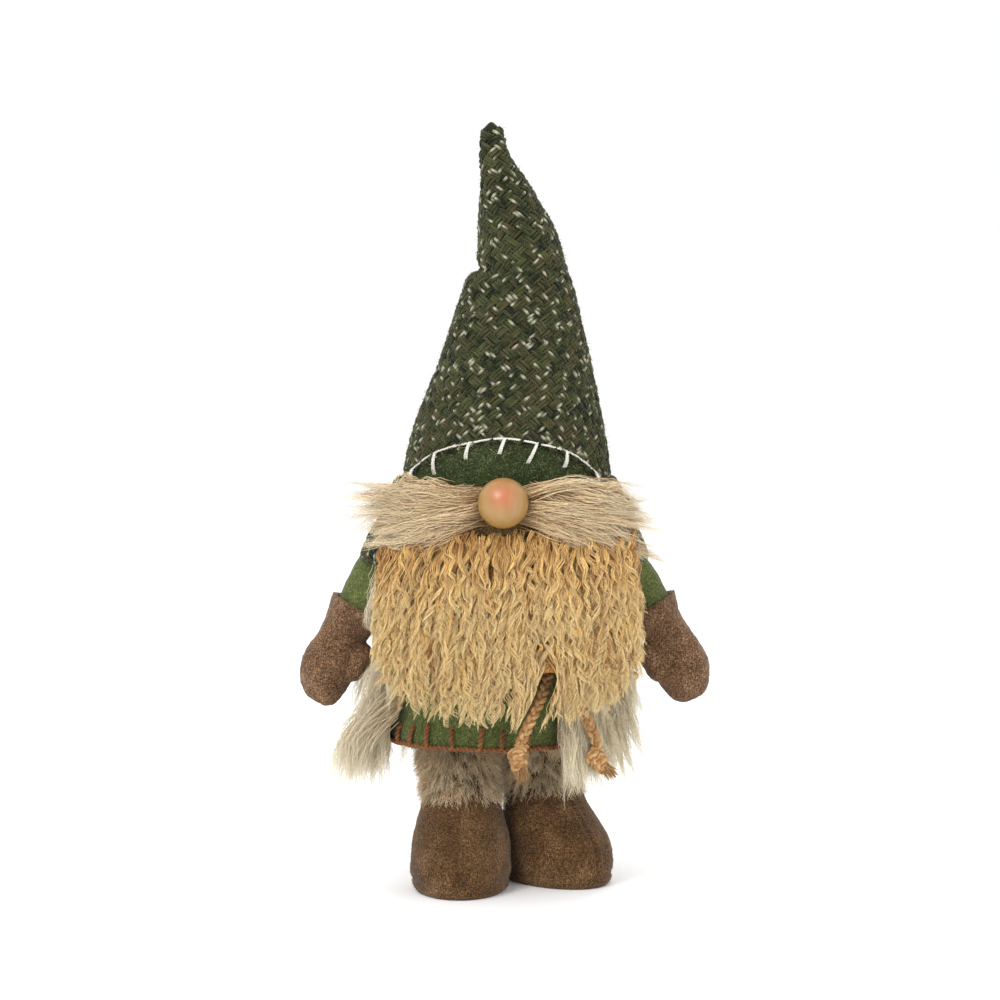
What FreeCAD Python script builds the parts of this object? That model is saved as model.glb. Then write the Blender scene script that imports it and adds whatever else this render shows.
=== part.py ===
import FreeCAD, Part
import math
import os

# A standing cloth gnome: felt boots, fur trousers, a felt tunic under a long-haired vest, a
# beard that lifts, a moustache, a wooden bead nose and a tall wired hat.
# Millimetres, +Z up, the face towards -Y. "left" and "right" are the figure's own, so the left
# hand is at +X. The origin is on the floor, below the middle of the bounding box.

doc = FreeCAD.newDocument("Gnome")
sheet = doc.addObject("Spreadsheet::Sheet", "Sizes")
pieces = []

SIZES = {
    # The axis of the body stands this far behind the origin, because nose and beard reach forward.
    "axis_back": 11.0,
    # Cloth and fur thicknesses, and the play between layers
    "play": 0.4,
    "bag_cloth": 1.2,
    "tunic_cloth": 2.0,
    "vest_fur": 7.0,
    "trouser_fur": 3.0,
    "boot_felt": 2.5,
    "insole": 1.5,
    "hat_cloth": 2.5,
    "patch_cloth": 1.2,
    "yarn": 0.8,
    "sleeve_cloth": 1.8,
    "mitten_felt": 2.0,
    # Vest: its lower and upper edges, and the open front
    "vest_low": 118.0,
    "vest_high": 226.0,
    "vest_edge_right": 68.0,
    "vest_edge_left": 38.0,
    # Ballast pouch
    "ballast_wide": 30.0,
    "ballast_tall": 26.0,
    "ballast_round": 8.0,
    "ballast_side": -7.0,
    "ballast_up": 112.0,
    # Boots: where each ankle stands and how far its toe turns out
    "ankle_right_side": -27.0,
    "ankle_right_fore": 8.0,
    "ankle_left_side": 26.0,
    "ankle_left_fore": -18.0,
    "toe_out_right": -2.0,
    "toe_out_left": 37.0,
    # Arms: shoulder, lean of the rest pose, and sizes along the arm from the shoulder
    "shoulder_side": 78.0,
    "shoulder_up": 210.0,
    "shoulder_fore": 2.0,
    "lean_right": 30.0,
    "lean_left": 32.0,
    "arm_lift": 55.0,
    "sleeve_top": 16.5,
    "sleeve_end": 15.0,
    "sleeve_long": 38.0,
    "cuff_from": 32.0,
    "cuff_wide": 20.0,
    "thumb": 7.5,
    "thumb_root": 58.0,
    "thumb_tip": 71.0,
    "thumb_in": 16.5,
    "thumb_fore": 4.0,
    # Hat: the ball joint in its crease, its wire and its round top
    "crease_side": 12.0,
    "crease_up": 402.0,
    "crease_room": 33.5,
    "crease_ball": 26.0,
    "hat_top_up": 489.0,
    "hat_top_side": -7.0,
    "hat_top_wide": 8.0,
    "wire": 1.0,
    "hat_wire_side": 5.5,
    "hat_wire_up": 300.0,
    "hat_wire_long": 66.0,
    "tip_wire_side": 12.5,
    "tip_wire_up": 386.0,
    "tip_wire_long": 84.0,
    "tip_wire_lean": -9.5,
    # Patch on the hat's front, an ellipse seen from the front
    "patch_up": 251.0,
    "patch_from": 267.0,
    "patch_wide": 66.0,
    "patch_tall": 44.0,
    "patch_stitch": 1.6,
    "patch_leg": 9.0,
    "patch_leg_in": 8.0,
    # Face: nose, moustache and the panel they are sewn to
    "face_side": 1.0,
    "nose": 16.0,
    "nose_up": 257.5,
    "nose_fore": 80.0,
    "peg": 3.0,
    "peg_long": 26.0,
    "peg_fore": 72.0,
    "panel_wide": 73.0,
    "panel_deep": 60.8,
    "panel_felt": 3.0,
    "moustache_wide": 96.0,
    "moustache_deep": 75.5,
    "moustache_low": 227.5,
    "moustache_high": 266.0,
    "moustache_back": 31.0,
    "parting": 1.5,
    # Beard, a curved flap
    "beard_side": 3.0,
    "beard_half": 93.0,
    "beard_low": 150.0,
    "beard_high": 227.0,
    "beard_round": 40.0,
    "beard_in_wide": 115.0,
    "beard_in_deep": 77.0,
    "beard_skin": 1.5,
    "beard_out_wide": 127.0,
    "beard_out_deep": 91.0,
    # Belt cord and its knot
    "cord": 3.75,
    "belt_up": 160.0,
    "belt_side": -2.0,
    "belt_wide": 78.0,
    "belt_deep": 65.5,
    "knot_from": 29.0,
    "knot_to": 37.0,
    "knot_fore": 61.8,
    "knot": 7.0,
    "end_knot": 8.0,
    "tail": 14.0,
    # Hem stitches on the tunic
    "hem_band": 2.5,
    "stitch_tall": 14.0,
    "stitch_wide": 3.5,
}

# Each form is a stack of level ovals: height, half width (X), half depth (Y), sideways, forward.
FORMS = {
    "torso": [
        (104, 50, 40, -8, 0),
        (150, 65.5, 53.5, -3, 0),
        (200, 70.5, 57.5, 0, 0),
        (228, 67, 54.5, 0, 0),
        (250, 60, 52, 1, 0),
    ],
    "tunic": [
        (97, 68, 57, -7, 0),
        (150, 70.5, 58.5, -3, 0),
        (200, 75, 62, 0, 0),
        (228, 72, 59.5, 0, 0),
        (250, 64.5, 56.5, 1, 0),
    ],
    "collar": [
        (216, 92, 74, 0, 0),
        (242, 80, 68, 1, 0),
        (265, 71.5, 64, 2, 0),
    ],
    "hat": [
        (250, 68, 60, 2, 0),
        (297, 62, 54.5, 4, 0),
        (347, 48.5, 43, 7.5, 0),
        (382, 38.5, 34, 9.5, 0),
        (401, 32, 29, 11.5, 0),
    ],
    "tip": [
        (403, 29.5, 26.5, 12.5, 0),
        (429, 25.5, 23, 8, 0),
        (452, 18, 16.5, 2, 0),
        (475, 10.5, 10, -5.5, 0),
        (490, 7, 6.9, -7, 0),
    ],
    "leg_right": [
        (62, 23, 23, -27, 8),
        (82, 23.5, 23.5, -29.5, 4),
        (102.8, 22, 22, -32, 0),
    ],
    "leg_left": [
        (62, 23, 23, 26, -18),
        (82, 23.5, 23.5, 21, -9),
        (102.8, 22, 22, 16, 0),
    ],
    # The mitten hangs below its own shoulder, its thumb side at negative X on the left hand.
    "mitten": [
        (-100, 6, 5, -6, 0),
        (-97, 11, 8.5, -5.5, 0),
        (-89, 16, 12.5, -4, 0),
        (-74, 18, 14.5, -2, 0),
        (-57, 15, 14, 0, 0),
        (-46, 16, 16, 0, 0),
        (-32, 20, 20, 0, 0),
    ],
    # The boot stands at its own ankle, before it is turned and moved into place.
    "boot": [
        (0, 29.5, 42, 0, 14),
        (5, 32, 45, 0, 14),
        (22, 32, 44.5, 0, 13),
        (40, 29.5, 36, 0, 8),
        (53, 26, 28, 0, 3),
        (62, 24, 24.5, 0, 0),
    ],
}
STATION = ("up", "wide", "deep", "side", "fore")

# Hand-placed routes of the two hanging belt ends: sideways, forward of the axis, height.
LONG_END = [(30, 61, 153), (28, 66, 142), (23, 75, 130), (15, 81, 115), (10, 80, 102)]
SHORT_END = [(37, 60, 153), (42, 65, 141), (49, 64, 126), (57, 60, 111), (61, 57, 97)]

# How many stitches go round the hem and round the patch, and the arc the patch's stitches span.
STITCHES = 26
PATCH_STITCHES = 8
PATCH_ARC = (33.0, 147.0)
# Longer than any part of the figure is wide, for the boxes that only cut.
BIG = 400.0


# ---------------------------------------------------------------- helpers

def fill_sheet():
    """Write every driving dimension as a plain number with an alias."""
    numbers = dict(SIZES)
    for form, stations in FORMS.items():
        for index, station in enumerate(stations):
            for field, value in zip(STATION, station):
                numbers[f"{form}{index}_{field}"] = value
    for row, (alias, value) in enumerate(numbers.items(), start=1):
        sheet.set(f"A{row}", alias)
        sheet.set(f"B{row}", str(value))
        sheet.setAlias(f"B{row}", alias)


def cells(text):
    """Put the sheet's name before each alias in a formula."""
    words = []
    for word in str(text).split():
        core = word.lstrip("(-").rstrip(")")
        if core[:1].isalpha() and not core.startswith(("sin", "cos")):
            word = word.replace(core, "Sizes." + core)
        words.append(word)
    return " ".join(words)


def place(item, side="0", fore="0", up="0", turn=0, about=(0, 0, 1)):
    """Bind an item's place; fore is measured towards the face from the axis of the body."""
    rotation = FreeCAD.Rotation(FreeCAD.Vector(*about), turn)
    item.Placement = FreeCAD.Placement(FreeCAD.Vector(0, 0, 0), rotation)
    item.setExpression(".Placement.Base.x", cells(side))
    item.setExpression(".Placement.Base.y", cells(f"axis_back - ( {fore} )"))
    item.setExpression(".Placement.Base.z", cells(up))
    return item


def make(kind, name, links):
    item = doc.addObject(kind, name)
    for prop, formula in links.items():
        item.setExpression(prop, cells(formula))
    return item


def ball(name, radius, **where):
    return place(make("Part::Sphere", name, {"Radius": radius}), **where)


def cone(name, first, last, tall, **where):
    links = {"Radius1": first, "Radius2": last, "Height": tall}
    return place(make("Part::Cone", name, links), **where)


def rod(name, radius, tall, **where):
    return place(make("Part::Cylinder", name, {"Radius": radius, "Height": tall}), **where)


def rounded(name, base, radius, pick):
    """Round the edges of a base that pick() chooses."""
    doc.recompute()
    item = doc.addObject("Part::Fillet", name)
    item.Base = base
    chosen = [number for number, edge in enumerate(base.Shape.Edges, start=1) if pick(edge)]
    item.Edges = [(number, radius, radius) for number in chosen]
    return item


def block(name, low, high):
    """A box between two corners, given as (side, fore, up) formulas; fore runs towards the face."""
    links = {
        "Length": f"( {high[0]} ) - ( {low[0]} )",
        "Width": f"( {high[1]} ) - ( {low[1]} )",
        "Height": f"( {high[2]} ) - ( {low[2]} )",
    }
    return place(make("Part::Box", name, links), side=low[0], fore=high[1], up=low[2])


def cut(name, base, tool):
    item = doc.addObject("Part::Cut", name)
    item.Base = base
    item.Tool = tool
    item.Refine = False
    return item


def cut_all(name, base, tools):
    for index, tool in enumerate(tools):
        base = cut(f"{name}_{index}", base, tool)
    return base


def fuse(name, *shapes):
    item = doc.addObject("Part::MultiFuse", name)
    item.Shapes = list(shapes)
    item.Refine = False
    return item


def common(name, *shapes):
    item = doc.addObject("Part::MultiCommon", name)
    item.Shapes = list(shapes)
    item.Refine = False
    return item


def oval(name, wide, deep, long_in_y=False, **where):
    """A level ellipse. Its long axis lies along X, or along Y when long_in_y is set."""
    major, minor = (deep, wide) if long_in_y else (wide, deep)
    item = make("Part::Ellipse", name, {"MajorRadius": major, "MinorRadius": minor})
    return place(item, turn=90 if long_in_y else 0, **where)


def carried(name, outline, far, heading=(0, 0, 1)):
    """A solid made by carrying an outline along a heading."""
    solid = doc.addObject("Part::Extrusion", name)
    solid.Base = outline
    solid.DirMode = "Custom"
    solid.Dir = FreeCAD.Vector(*heading)
    solid.Solid = True
    solid.setExpression("LengthFwd", cells(far))
    return solid


def layer(name, form, grow="0", first=0, last=None, lower="0", at_origin=False, sign=1):
    """A solid through a form's ovals, each grown by the formula, its first one lowered.

    at_origin builds it round its own Z axis, and sign -1 mirrors its sideways shifts.
    """
    stations = FORMS[form]
    last = len(stations) if last is None else last
    ovals = []
    for index in range(first, last):
        cell = f"{form}{index}_"
        fore = cell + "fore + axis_back" if at_origin else cell + "fore"
        drop = f" - {lower}" if index == first else ""
        ovals.append(oval(
            f"{name}_oval{index}",
            f"{cell}wide + ( {grow} )",
            f"{cell}deep + ( {grow} )",
            long_in_y=form == "boot",
            side=f"{sign} * {cell}side",
            fore=fore,
            up=cell + "up" + drop,
        ))
    loft = doc.addObject("Part::Loft", name)
    loft.Sections = ovals
    loft.Solid = True
    return loft


def tube_wall(name, wide, deep, thick, low, high, side="face_side"):
    """An upright oval tube; its inner oval is wide by deep."""
    solids = []
    for part, grow in (("outer", thick), ("inner", "0")):
        profile = oval(f"{name}_{part}_oval", f"{wide} + {grow}", f"{deep} + {grow}", side=side, up=low)
        solids.append(carried(f"{name}_{part}", profile, f"( {high} ) - ( {low} )"))
    return cut(name, *solids)


def keep(label, item):
    """Register a finished sub-part; its label names its file."""
    item.Label = label
    pieces.append(item)
    return item


# ---------------------------------------------------------------- boots and legs

def boots_and_legs():
    for side in ("right", "left"):
        turn = SIZES[f"toe_out_{side}"]
        form = f"leg_{side}"
        sole = layer(f"Sole_{side}", "boot", last=2, at_origin=True)
        upper_out = layer(f"BootOut_{side}", "boot", first=1, at_origin=True)
        upper_in = layer(f"BootIn_{side}", "boot", "-1 * boot_felt", first=1, at_origin=True)
        board_room = place(
            make("Part::Box", f"BoardRoom_{side}", {"Length": "200", "Width": "200", "Height": "insole"}),
            side="-100", fore="100 + axis_back", up="boot1_up",
        )
        upper = cut(f"Upper_{side}", upper_out, upper_in)
        board = common(f"Board_{side}", upper_in, board_room)
        filling = cut(f"BootFill_{side}", upper_in, board_room)
        for label, item in (
            (f"boot_sole_{side}", sole),
            (f"boot_upper_{side}", upper),
            (f"insole_board_{side}", board),
            (f"boot_filling_{side}", filling),
        ):
            ankle = {"side": f"ankle_{side}_side", "fore": f"ankle_{side}_fore"}
            keep(label, place(item, turn=turn, **ankle))
        leg_out = layer(f"LegOut_{side}", form)
        leg_in = layer(f"LegIn_{side}", form, "-1 * trouser_fur")
        keep(f"trouser_leg_{side}", cut(f"Leg_{side}", leg_out, leg_in))
        keep(f"leg_filling_{side}", leg_in)


# ---------------------------------------------------------------- arms

def along(depth, inward="0", sign=1):
    """A place in the arm's own frame: the arm hangs down -Z from its shoulder."""
    return {"side": f"{-sign} * ( {inward} )", "fore": "axis_back", "up": f"-1 * ( {depth} )"}


def arm_frame(item, side, lift=0.0):
    """Stand an item made in the arm's own frame at its shoulder, leaning out and lifted."""
    sign = 1 if side == "left" else -1
    angle = -sign * (SIZES[f"lean_{side}"] + lift)
    where = {"side": f"{sign} * shoulder_side", "fore": "shoulder_fore", "up": "shoulder_up"}
    return place(item, turn=angle, about=(0, 1, 0), **where)


def sleeve_solid(name, thin, longer="0"):
    tall = "sleeve_long + " + longer
    top = ball(f"{name}_ball", f"sleeve_top - {thin}", **along("0"))
    tube = cone(
        f"{name}_tube", f"sleeve_end - {thin}", f"sleeve_top - {thin}", tall, **along(tall)
    )
    return fuse(name, top, tube)


def mitten_solid(name, thin, sign):
    """Bell cuff, hand and thumb, all thinner by the formula."""
    hand = layer(f"{name}_hand", "mitten", f"-1 * {thin}", at_origin=True, sign=sign)
    places = []
    for depth in ("thumb_root", "thumb_tip"):
        spot = along(depth, "thumb_in", sign)
        spot["fore"] = "axis_back + thumb_fore"
        places.append(spot)
    root = ball(f"{name}_thumb_root", f"thumb - {thin}", **places[0])
    tip = ball(f"{name}_thumb_tip", f"thumb - {thin}", **places[1])
    bone = rod(f"{name}_thumb", f"thumb - {thin}", "thumb_tip - thumb_root", **places[1])
    return fuse(name, hand, root, tip, bone)


def arms():
    """Two arms; returns the room that each needs in the body, over its whole lift."""
    rooms = []
    for side, sign in (("right", -1), ("left", 1)):
        sleeve_out = sleeve_solid(f"SleeveOut_{side}", "0")
        sleeve_in = sleeve_solid(f"SleeveIn_{side}", "sleeve_cloth")
        mitten_out = mitten_solid(f"MittenOut_{side}", "0", sign)
        mitten_in = mitten_solid(f"MittenIn_{side}", "mitten_felt", sign)
        sleeve = cut(f"Sleeve_{side}", sleeve_out, sleeve_in)
        mitten = cut_all(f"Mitten_{side}", mitten_out, [mitten_in, sleeve_out])
        mitten_fill = cut(f"MittenFill_{side}", mitten_in, sleeve_out)
        keep(f"sleeve_{side}", arm_frame(sleeve, side))
        arm_fill = sleeve_solid(f"ArmFill_{side}", "sleeve_cloth")
        keep(f"arm_stuffing_{side}", arm_frame(arm_fill, side))
        keep(f"mitten_{side}", arm_frame(mitten, side))
        keep(f"mitten_stuffing_{side}", arm_frame(mitten_fill, side))
        rooms.append(arm_room(side))
    return rooms


def arm_room(side):
    """The shoulder with its sleeve at three lifts, and the cuff at rest."""
    reach = "sleeve_long + cuff_wide"
    parts = []
    for index, share in enumerate((0.0, 0.5, 1.0)):
        top = ball(f"RoomBall_{side}_{index}", "sleeve_top + play + play", **along("0"))
        tube = rod(f"RoomTube_{side}_{index}", "sleeve_top + play", reach, **along(reach))
        sleeve = fuse(f"RoomSleeve_{side}_{index}", top, tube)
        parts.append(arm_frame(sleeve, side, share * SIZES["arm_lift"]))
    cuff = rod(f"RoomCuff_{side}", "cuff_wide + play", reach, **along("cuff_from - 2 + " + reach))
    core = ball(f"RoomCore_{side}", "sleeve_top", **along("cuff_from"))
    parts.append(arm_frame(fuse(f"RoomCuffTurned_{side}", cuff, core), side))
    return fuse(f"ArmRoom_{side}", *parts)


# ---------------------------------------------------------------- body and clothes

def body(rooms):
    core = layer("Core", "torso")
    bag_out = layer("BagOut", "torso", "bag_cloth", lower="bag_cloth")
    pouch = rod("Pouch", "ballast_wide", "ballast_tall", side="ballast_side", up="ballast_up")
    ballast = rounded("Ballast", pouch, SIZES["ballast_round"], lambda edge: edge.Closed)
    keep("ballast_bag", ballast)
    keep("body_stuffing", cut_all("Stuffing", core, [ballast] + rooms))
    keep("body_bag", cut_all("Bag", bag_out, [core] + rooms))


def tunic(rooms):
    outer = layer("TunicOut", "tunic")
    inner = layer("TunicIn", "tunic", "-1 * tunic_cloth")
    keep("tunic", cut_all("Tunic", outer, [inner] + rooms))
    keep("tunic_hem_stitch", hem_stitch(outer))


def hem_stitch(outer):
    """Yarn round the tunic's edge: a band and an upright stitch at even steps."""
    yarn_out = layer("HemYarnOut", "tunic", "yarn")
    shell = cut("HemShell", yarn_out, outer)
    low = (-BIG / 2, -BIG / 2, "tunic0_up")
    high = (BIG / 2, BIG / 2, "tunic0_up + hem_band")
    marks = [block("HemBand", low, high)]
    for index in range(STITCHES):
        links = {"Length": "tunic0_wide + 20", "Width": "stitch_wide", "Height": "stitch_tall"}
        bar = make("Part::Box", f"HemBar{index}", links)
        marks.append(place(bar, side="tunic0_side", up="tunic0_up", turn=360.0 / STITCHES * (index + 0.5)))
    return common("HemStitch", shell, fuse("HemMarks", *marks))


def vest(rooms, belt, knot):
    """Open-fronted fur, dented where the belt cord pulls it in."""
    outer = layer("VestOut", "tunic", "play + vest_fur")
    inner = layer("VestIn", "tunic", "play")
    slab = block("VestSlab", (-BIG / 2, -BIG / 2, "vest_low"), (BIG / 2, BIG / 2, "vest_high"))
    front = block(
        "VestFront", ("-1 * vest_edge_right", 0, "vest_low - 5"), ("vest_edge_left", BIG / 2, "vest_high + 5")
    )
    clipped = common("VestClip", outer, slab)
    keep("fur_vest", cut_all("Vest", clipped, [inner, front, belt, knot] + rooms))


def collar(rooms):
    outer = layer("CollarOut", "collar")
    inner = layer("CollarIn", "collar", "-1 * hat_cloth")
    front = block("CollarFront", (-BIG / 2, "moustache_back - 1", 100), (BIG / 2, BIG / 2, BIG))
    keep("collar", cut_all("Collar", outer, [inner, front] + rooms))


# ---------------------------------------------------------------- hat

def hat():
    where = {"side": "crease_side", "up": "crease_up"}
    room = ball("CreaseRoom", "crease_room", **where)
    outer = layer("HatOut", "hat")
    inner = layer("HatIn", "hat", "-1 * hat_cloth")
    peg = nose_peg("PegRoom")
    low_wire = rod("LowWire", "wire", "hat_wire_long", side="hat_wire_side", up="hat_wire_up")
    keep("hat_cone", cut_all("HatCone", outer, [inner, room, peg]))
    keep("hat_stuffing", cut_all("HatFill", inner, [room, low_wire, peg]))
    keep("hat_wire", low_wire)
    keep("visor_patch", on_patch("Visor", "0", "patch_cloth", patch_disc("PatchDisc", "0")))
    keep("visor_stitch", on_patch("Stitch", "patch_cloth", "patch_cloth + yarn", patch_marks()))
    hat_tip(where)


def hat_tip(where):
    """The bent top, on a ball of stuffing that turns inside the crease."""
    outer = layer("TipOut", "tip")
    inner = layer("TipIn", "tip", "-1 * hat_cloth")
    cap = ball("TipCap", "hat_top_wide", side="hat_top_side", up="hat_top_up")
    cap_in = ball("TipCapIn", "hat_top_wide - hat_cloth", side="hat_top_side", up="hat_top_up")
    crease_ball = ball("CreaseBall", "crease_ball", **where)
    wire = rod(
        "TipWire", "wire", "tip_wire_long", side="tip_wire_side", up="tip_wire_up",
        turn=SIZES["tip_wire_lean"], about=(0, 1, 0),
    )
    shell_out = fuse("TipShellOut", outer, cap)
    shell_in = fuse("TipShellIn", inner, cap_in)
    keep("hat_tip", cut_all("TipCloth", shell_out, [shell_in, crease_ball]))
    keep("hat_tip_stuffing", cut_all("TipFill", fuse("TipCore", shell_in, crease_ball), [wire]))
    keep("hat_tip_wire", wire)


def patch_disc(name, thin):
    """The patch's outline, an ellipse, carried through the front half of the hat."""
    flat = oval(f"{name}_oval", f"patch_wide - {thin}", f"patch_tall - {thin}")
    place(flat, up="patch_up", turn=90, about=(1, 0, 0))
    return carried(name, flat, str(BIG / 2), (0, -1, 0))


def on_patch(name, inside, outside, outline):
    """A layer on the hat's face, between two offsets, inside an outline and above the moustache."""
    wall = cut(f"{name}Wall", layer(f"{name}Out", "hat", outside), layer(f"{name}In", "hat", inside))
    slab = block(f"{name}Slab", (-BIG / 2, 0, "patch_from"), (BIG / 2, BIG / 2, "hat2_up"))
    return common(name, wall, outline, slab)


def patch_marks():
    """Blanket stitches: a line of yarn along the patch's edge and a leg inwards at each step."""
    rim = cut("RimMark", patch_disc("RimOut", "0"), patch_disc("RimIn", "patch_stitch"))
    first, last = PATCH_ARC
    legs = []
    for index in range(PATCH_STITCHES):
        angle = math.radians(first + (last - first) * index / (PATCH_STITCHES - 1))
        links = {"Length": "patch_stitch", "Width": str(BIG / 2), "Height": "patch_leg"}
        leg = make("Part::Box", f"PatchLeg{index}", links)
        legs.append(place(
            leg, side=f"( patch_wide - patch_leg_in ) * {math.cos(angle):.4f}", fore=str(BIG / 2),
            up=f"patch_up + ( patch_tall - patch_leg_in ) * {math.sin(angle):.4f}",
        ))
    legs = common("LegMarks", fuse("PatchLegs", *legs), patch_disc("LegLimit", "0"))
    return fuse("PatchMarks", rim, legs)


# ---------------------------------------------------------------- face

def nose_ball(name):
    return ball(name, "nose", fore="nose_fore", up="nose_up")


def nose_peg(name):
    return rod(name, "peg", "peg_long", fore="peg_fore", up="nose_up", turn=-90, about=(1, 0, 0))


def face():
    peg = nose_peg("Peg")
    keep("nose_peg", peg)
    keep("nose_bead", cut("Nose", nose_ball("NoseBall"), peg))
    front = block(
        "FaceFront", (-BIG / 2, "moustache_back", 100), (BIG / 2, BIG / 2, BIG)
    )
    panel = tube_wall(
        "PanelWall", "panel_wide", "panel_deep", "panel_felt", "moustache_low", "moustache_high"
    )
    keep("face_panel", cut("Panel", common("PanelFront", panel, front), peg))
    moustache(front)


def moustache(front):
    """A pad of fur in front of the face panel, parted in two below the nose."""
    outer = oval("TuftOval", "moustache_wide", "moustache_deep", side="face_side", up="moustache_low")
    inner = oval(
        "PanelOval", "panel_wide + panel_felt", "panel_deep + panel_felt",
        side="face_side", up="moustache_low - 1",
    )
    solid = carried("TuftOuter", outer, "moustache_high - moustache_low")
    panel = carried("TuftInner", inner, "moustache_high - moustache_low + 2")
    tools = [panel, nose_ball("TuftNose"), nose_peg("TuftPeg")]
    tuft = cut_all("Tuft", common("TuftFront", solid, front), tools)
    for side, low, high in (("right", str(-BIG / 2), "-1 * parting"), ("left", "parting", str(BIG / 2))):
        half = block(f"TuftHalf_{side}", (low, 0, 100), (high, BIG / 2, BIG))
        keep(f"moustache_{side}", common(f"Moustache_{side}", tuft, half))


def beard():
    """A curved flap with round lower corners: a thin skin with the locks' pile in front."""
    box = block(
        "BeardBox", ("beard_side - beard_half", "20", "beard_low"),
        ("beard_side + beard_half", BIG / 2, "beard_high"),
    )
    low = SIZES["beard_low"]
    outline = rounded(
        "BeardOutline", box, SIZES["beard_round"],
        lambda edge: edge.BoundBox.ZMax < low + 1 and edge.BoundBox.YLength > BIG / 4,
    )
    skin = tube_wall(
        "BeardSkinWall", "beard_in_wide", "beard_in_deep", "beard_skin", "beard_low - 1",
        "beard_high + 1", side="beard_side",
    )
    pile_out = oval("PileOval", "beard_out_wide", "beard_out_deep", side="beard_side", up="beard_low - 1")
    pile_in = oval(
        "PileInOval", "beard_in_wide + beard_skin", "beard_in_deep + beard_skin",
        side="beard_side", up="beard_low - 1",
    )
    walls = [
        carried(name, profile, "beard_high - beard_low + 2")
        for name, profile in (("PileOut", pile_out), ("PileIn", pile_in))
    ]
    keep("beard_skin", common("BeardSkin", skin, outline))
    keep("beard_pile", common("BeardPile", cut("PileWall", *walls), outline))


# ---------------------------------------------------------------- belt

def belt_knot():
    where = {"fore": "knot_fore", "up": "belt_up"}
    first = ball("KnotRight", "knot", side="knot_from", **where)
    second = ball("KnotLeft", "knot", side="knot_to", **where)
    middle = rod(
        "KnotMiddle", "knot", "knot_to - knot_from", side="knot_from", turn=90, about=(0, 1, 0), **where
    )
    return fuse("Knot", first, second, middle)


def belt(knot):
    """A cord tied round the waist over the vest, closed by its knot."""
    ring = oval("BeltLine", "belt_wide", "belt_deep", side="belt_side", up="belt_up")
    profile = make("Part::Circle", "BeltRound", {"Radius": "cord"})
    place(profile, side="belt_side + belt_wide", up="belt_up", turn=90, about=(1, 0, 0))
    loop = doc.addObject("Part::Sweep", "BeltLoop")
    loop.Sections = [profile]
    loop.Spine = (ring, ["Edge1"])
    loop.Solid = True
    loop.Frenet = True
    keep("belt_cord", cut("BeltCord", loop, knot))
    keep("belt_knot", knot)
    return loop


def route_points(route):
    back = SIZES["axis_back"]
    return [FreeCAD.Vector(side, back - fore, up) for side, fore, up in route]


def cord_end(name, route, knot, end_knot):
    """A limp cord: straight runs joined by tangent arcs, each as large as its runs allow."""
    radius = SIZES["cord"]
    points = route_points(route)
    edges = []
    start = points[0]
    for before, corner, after in zip(points, points[1:], points[2:]):
        back = before - corner
        ahead = after - corner
        half_turn = (math.pi - back.getAngle(ahead)) / 2
        tangent = 0.45 * min(back.Length, ahead.Length)
        bend = tangent / math.tan(half_turn)
        first = corner + back.normalize() * tangent
        last = corner + ahead.normalize() * tangent
        inward = (back + ahead).normalize()
        middle = corner + inward * (bend / math.cos(half_turn) - bend)
        print(f"{name}: bend radius {bend:.1f} mm")
        edges.append(Part.LineSegment(start, first).toShape())
        edges.append(Part.Arc(first, middle, last).toShape())
        start = last
    edges.append(Part.LineSegment(start, points[-1]).toShape())
    path = Part.Wire(edges)
    heading = points[1] - points[0]
    profile = Part.Wire([Part.Circle(points[0], heading, radius).toShape()])
    solid = path.makePipeShell([profile], True, True)
    expected = math.pi * radius ** 2 * path.Length
    print(f"{name}: length {path.Length:.1f} mm, volume ratio {solid.Volume / expected:.4f}")
    tube = doc.addObject("Part::Feature", f"Tube_{name}")
    tube.Shape = solid
    tube.Placement = FreeCAD.Placement()
    keep(name, cut_all(f"Cord_{name}", tube, [knot, end_knot]))


def end_knot(name, route, lean):
    """A tied end: a round knot and a short tail below it, leaning by an angle."""
    side, fore, up = route[-1]
    where = {"side": str(side), "fore": str(fore), "up": f"{up} - end_knot + 2"}
    knot = ball(f"{name}_ball", "end_knot", **where)
    where["fore"] = f"{fore} + 0.5"
    tail = rod(f"{name}_tail", "cord + 1", "tail", turn=180 - lean, about=(0, 1, 0), **where)
    return keep(name, fuse(f"{name}_tied", knot, tail))


def belt_ends(knot):
    long_knot = end_knot("belt_end_knot_long", LONG_END, 8)
    short_knot = end_knot("belt_end_knot_short", SHORT_END, 30)
    cord_end("belt_end_long", LONG_END, knot, long_knot)
    cord_end("belt_end_short", SHORT_END, knot, short_knot)


# ---------------------------------------------------------------- build and write

def check():
    for item in doc.Objects:
        bad = [word for word in item.State if word in ("Invalid", "Error")]
        if bad:
            raise SystemExit(f"{item.Name} ({item.Label}) failed to compute")
    for item in pieces:
        if item.Shape.isNull() or not item.Shape.isValid() or not item.Shape.Solids:
            raise SystemExit(f"{item.Label} has no valid solid")
    whole = Part.makeCompound([item.Shape for item in pieces]).BoundBox
    print(f"box X {whole.XMin:.2f} {whole.XMax:.2f}  Y {whole.YMin:.2f} {whole.YMax:.2f}"
          f"  Z {whole.ZMin:.2f} {whole.ZMax:.2f}, {len(pieces)} sub-parts")


def write():
    os.makedirs("parts", exist_ok=True)
    for item in pieces:
        item.Shape.exportStep(f"parts/{item.Label}.step")


fill_sheet()
doc.recompute()
boots_and_legs()
arm_rooms = arms()
body(arm_rooms)
tunic(arm_rooms)
waist_knot = belt_knot()
waist_loop = belt(waist_knot)
vest(arm_rooms, waist_loop, waist_knot)
collar(arm_rooms)
hat()
face()
beard()
belt_ends(waist_knot)
doc.recompute()
check()
write()
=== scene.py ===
import bpy
import math
import numpy as np
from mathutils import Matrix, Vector, noise


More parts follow.
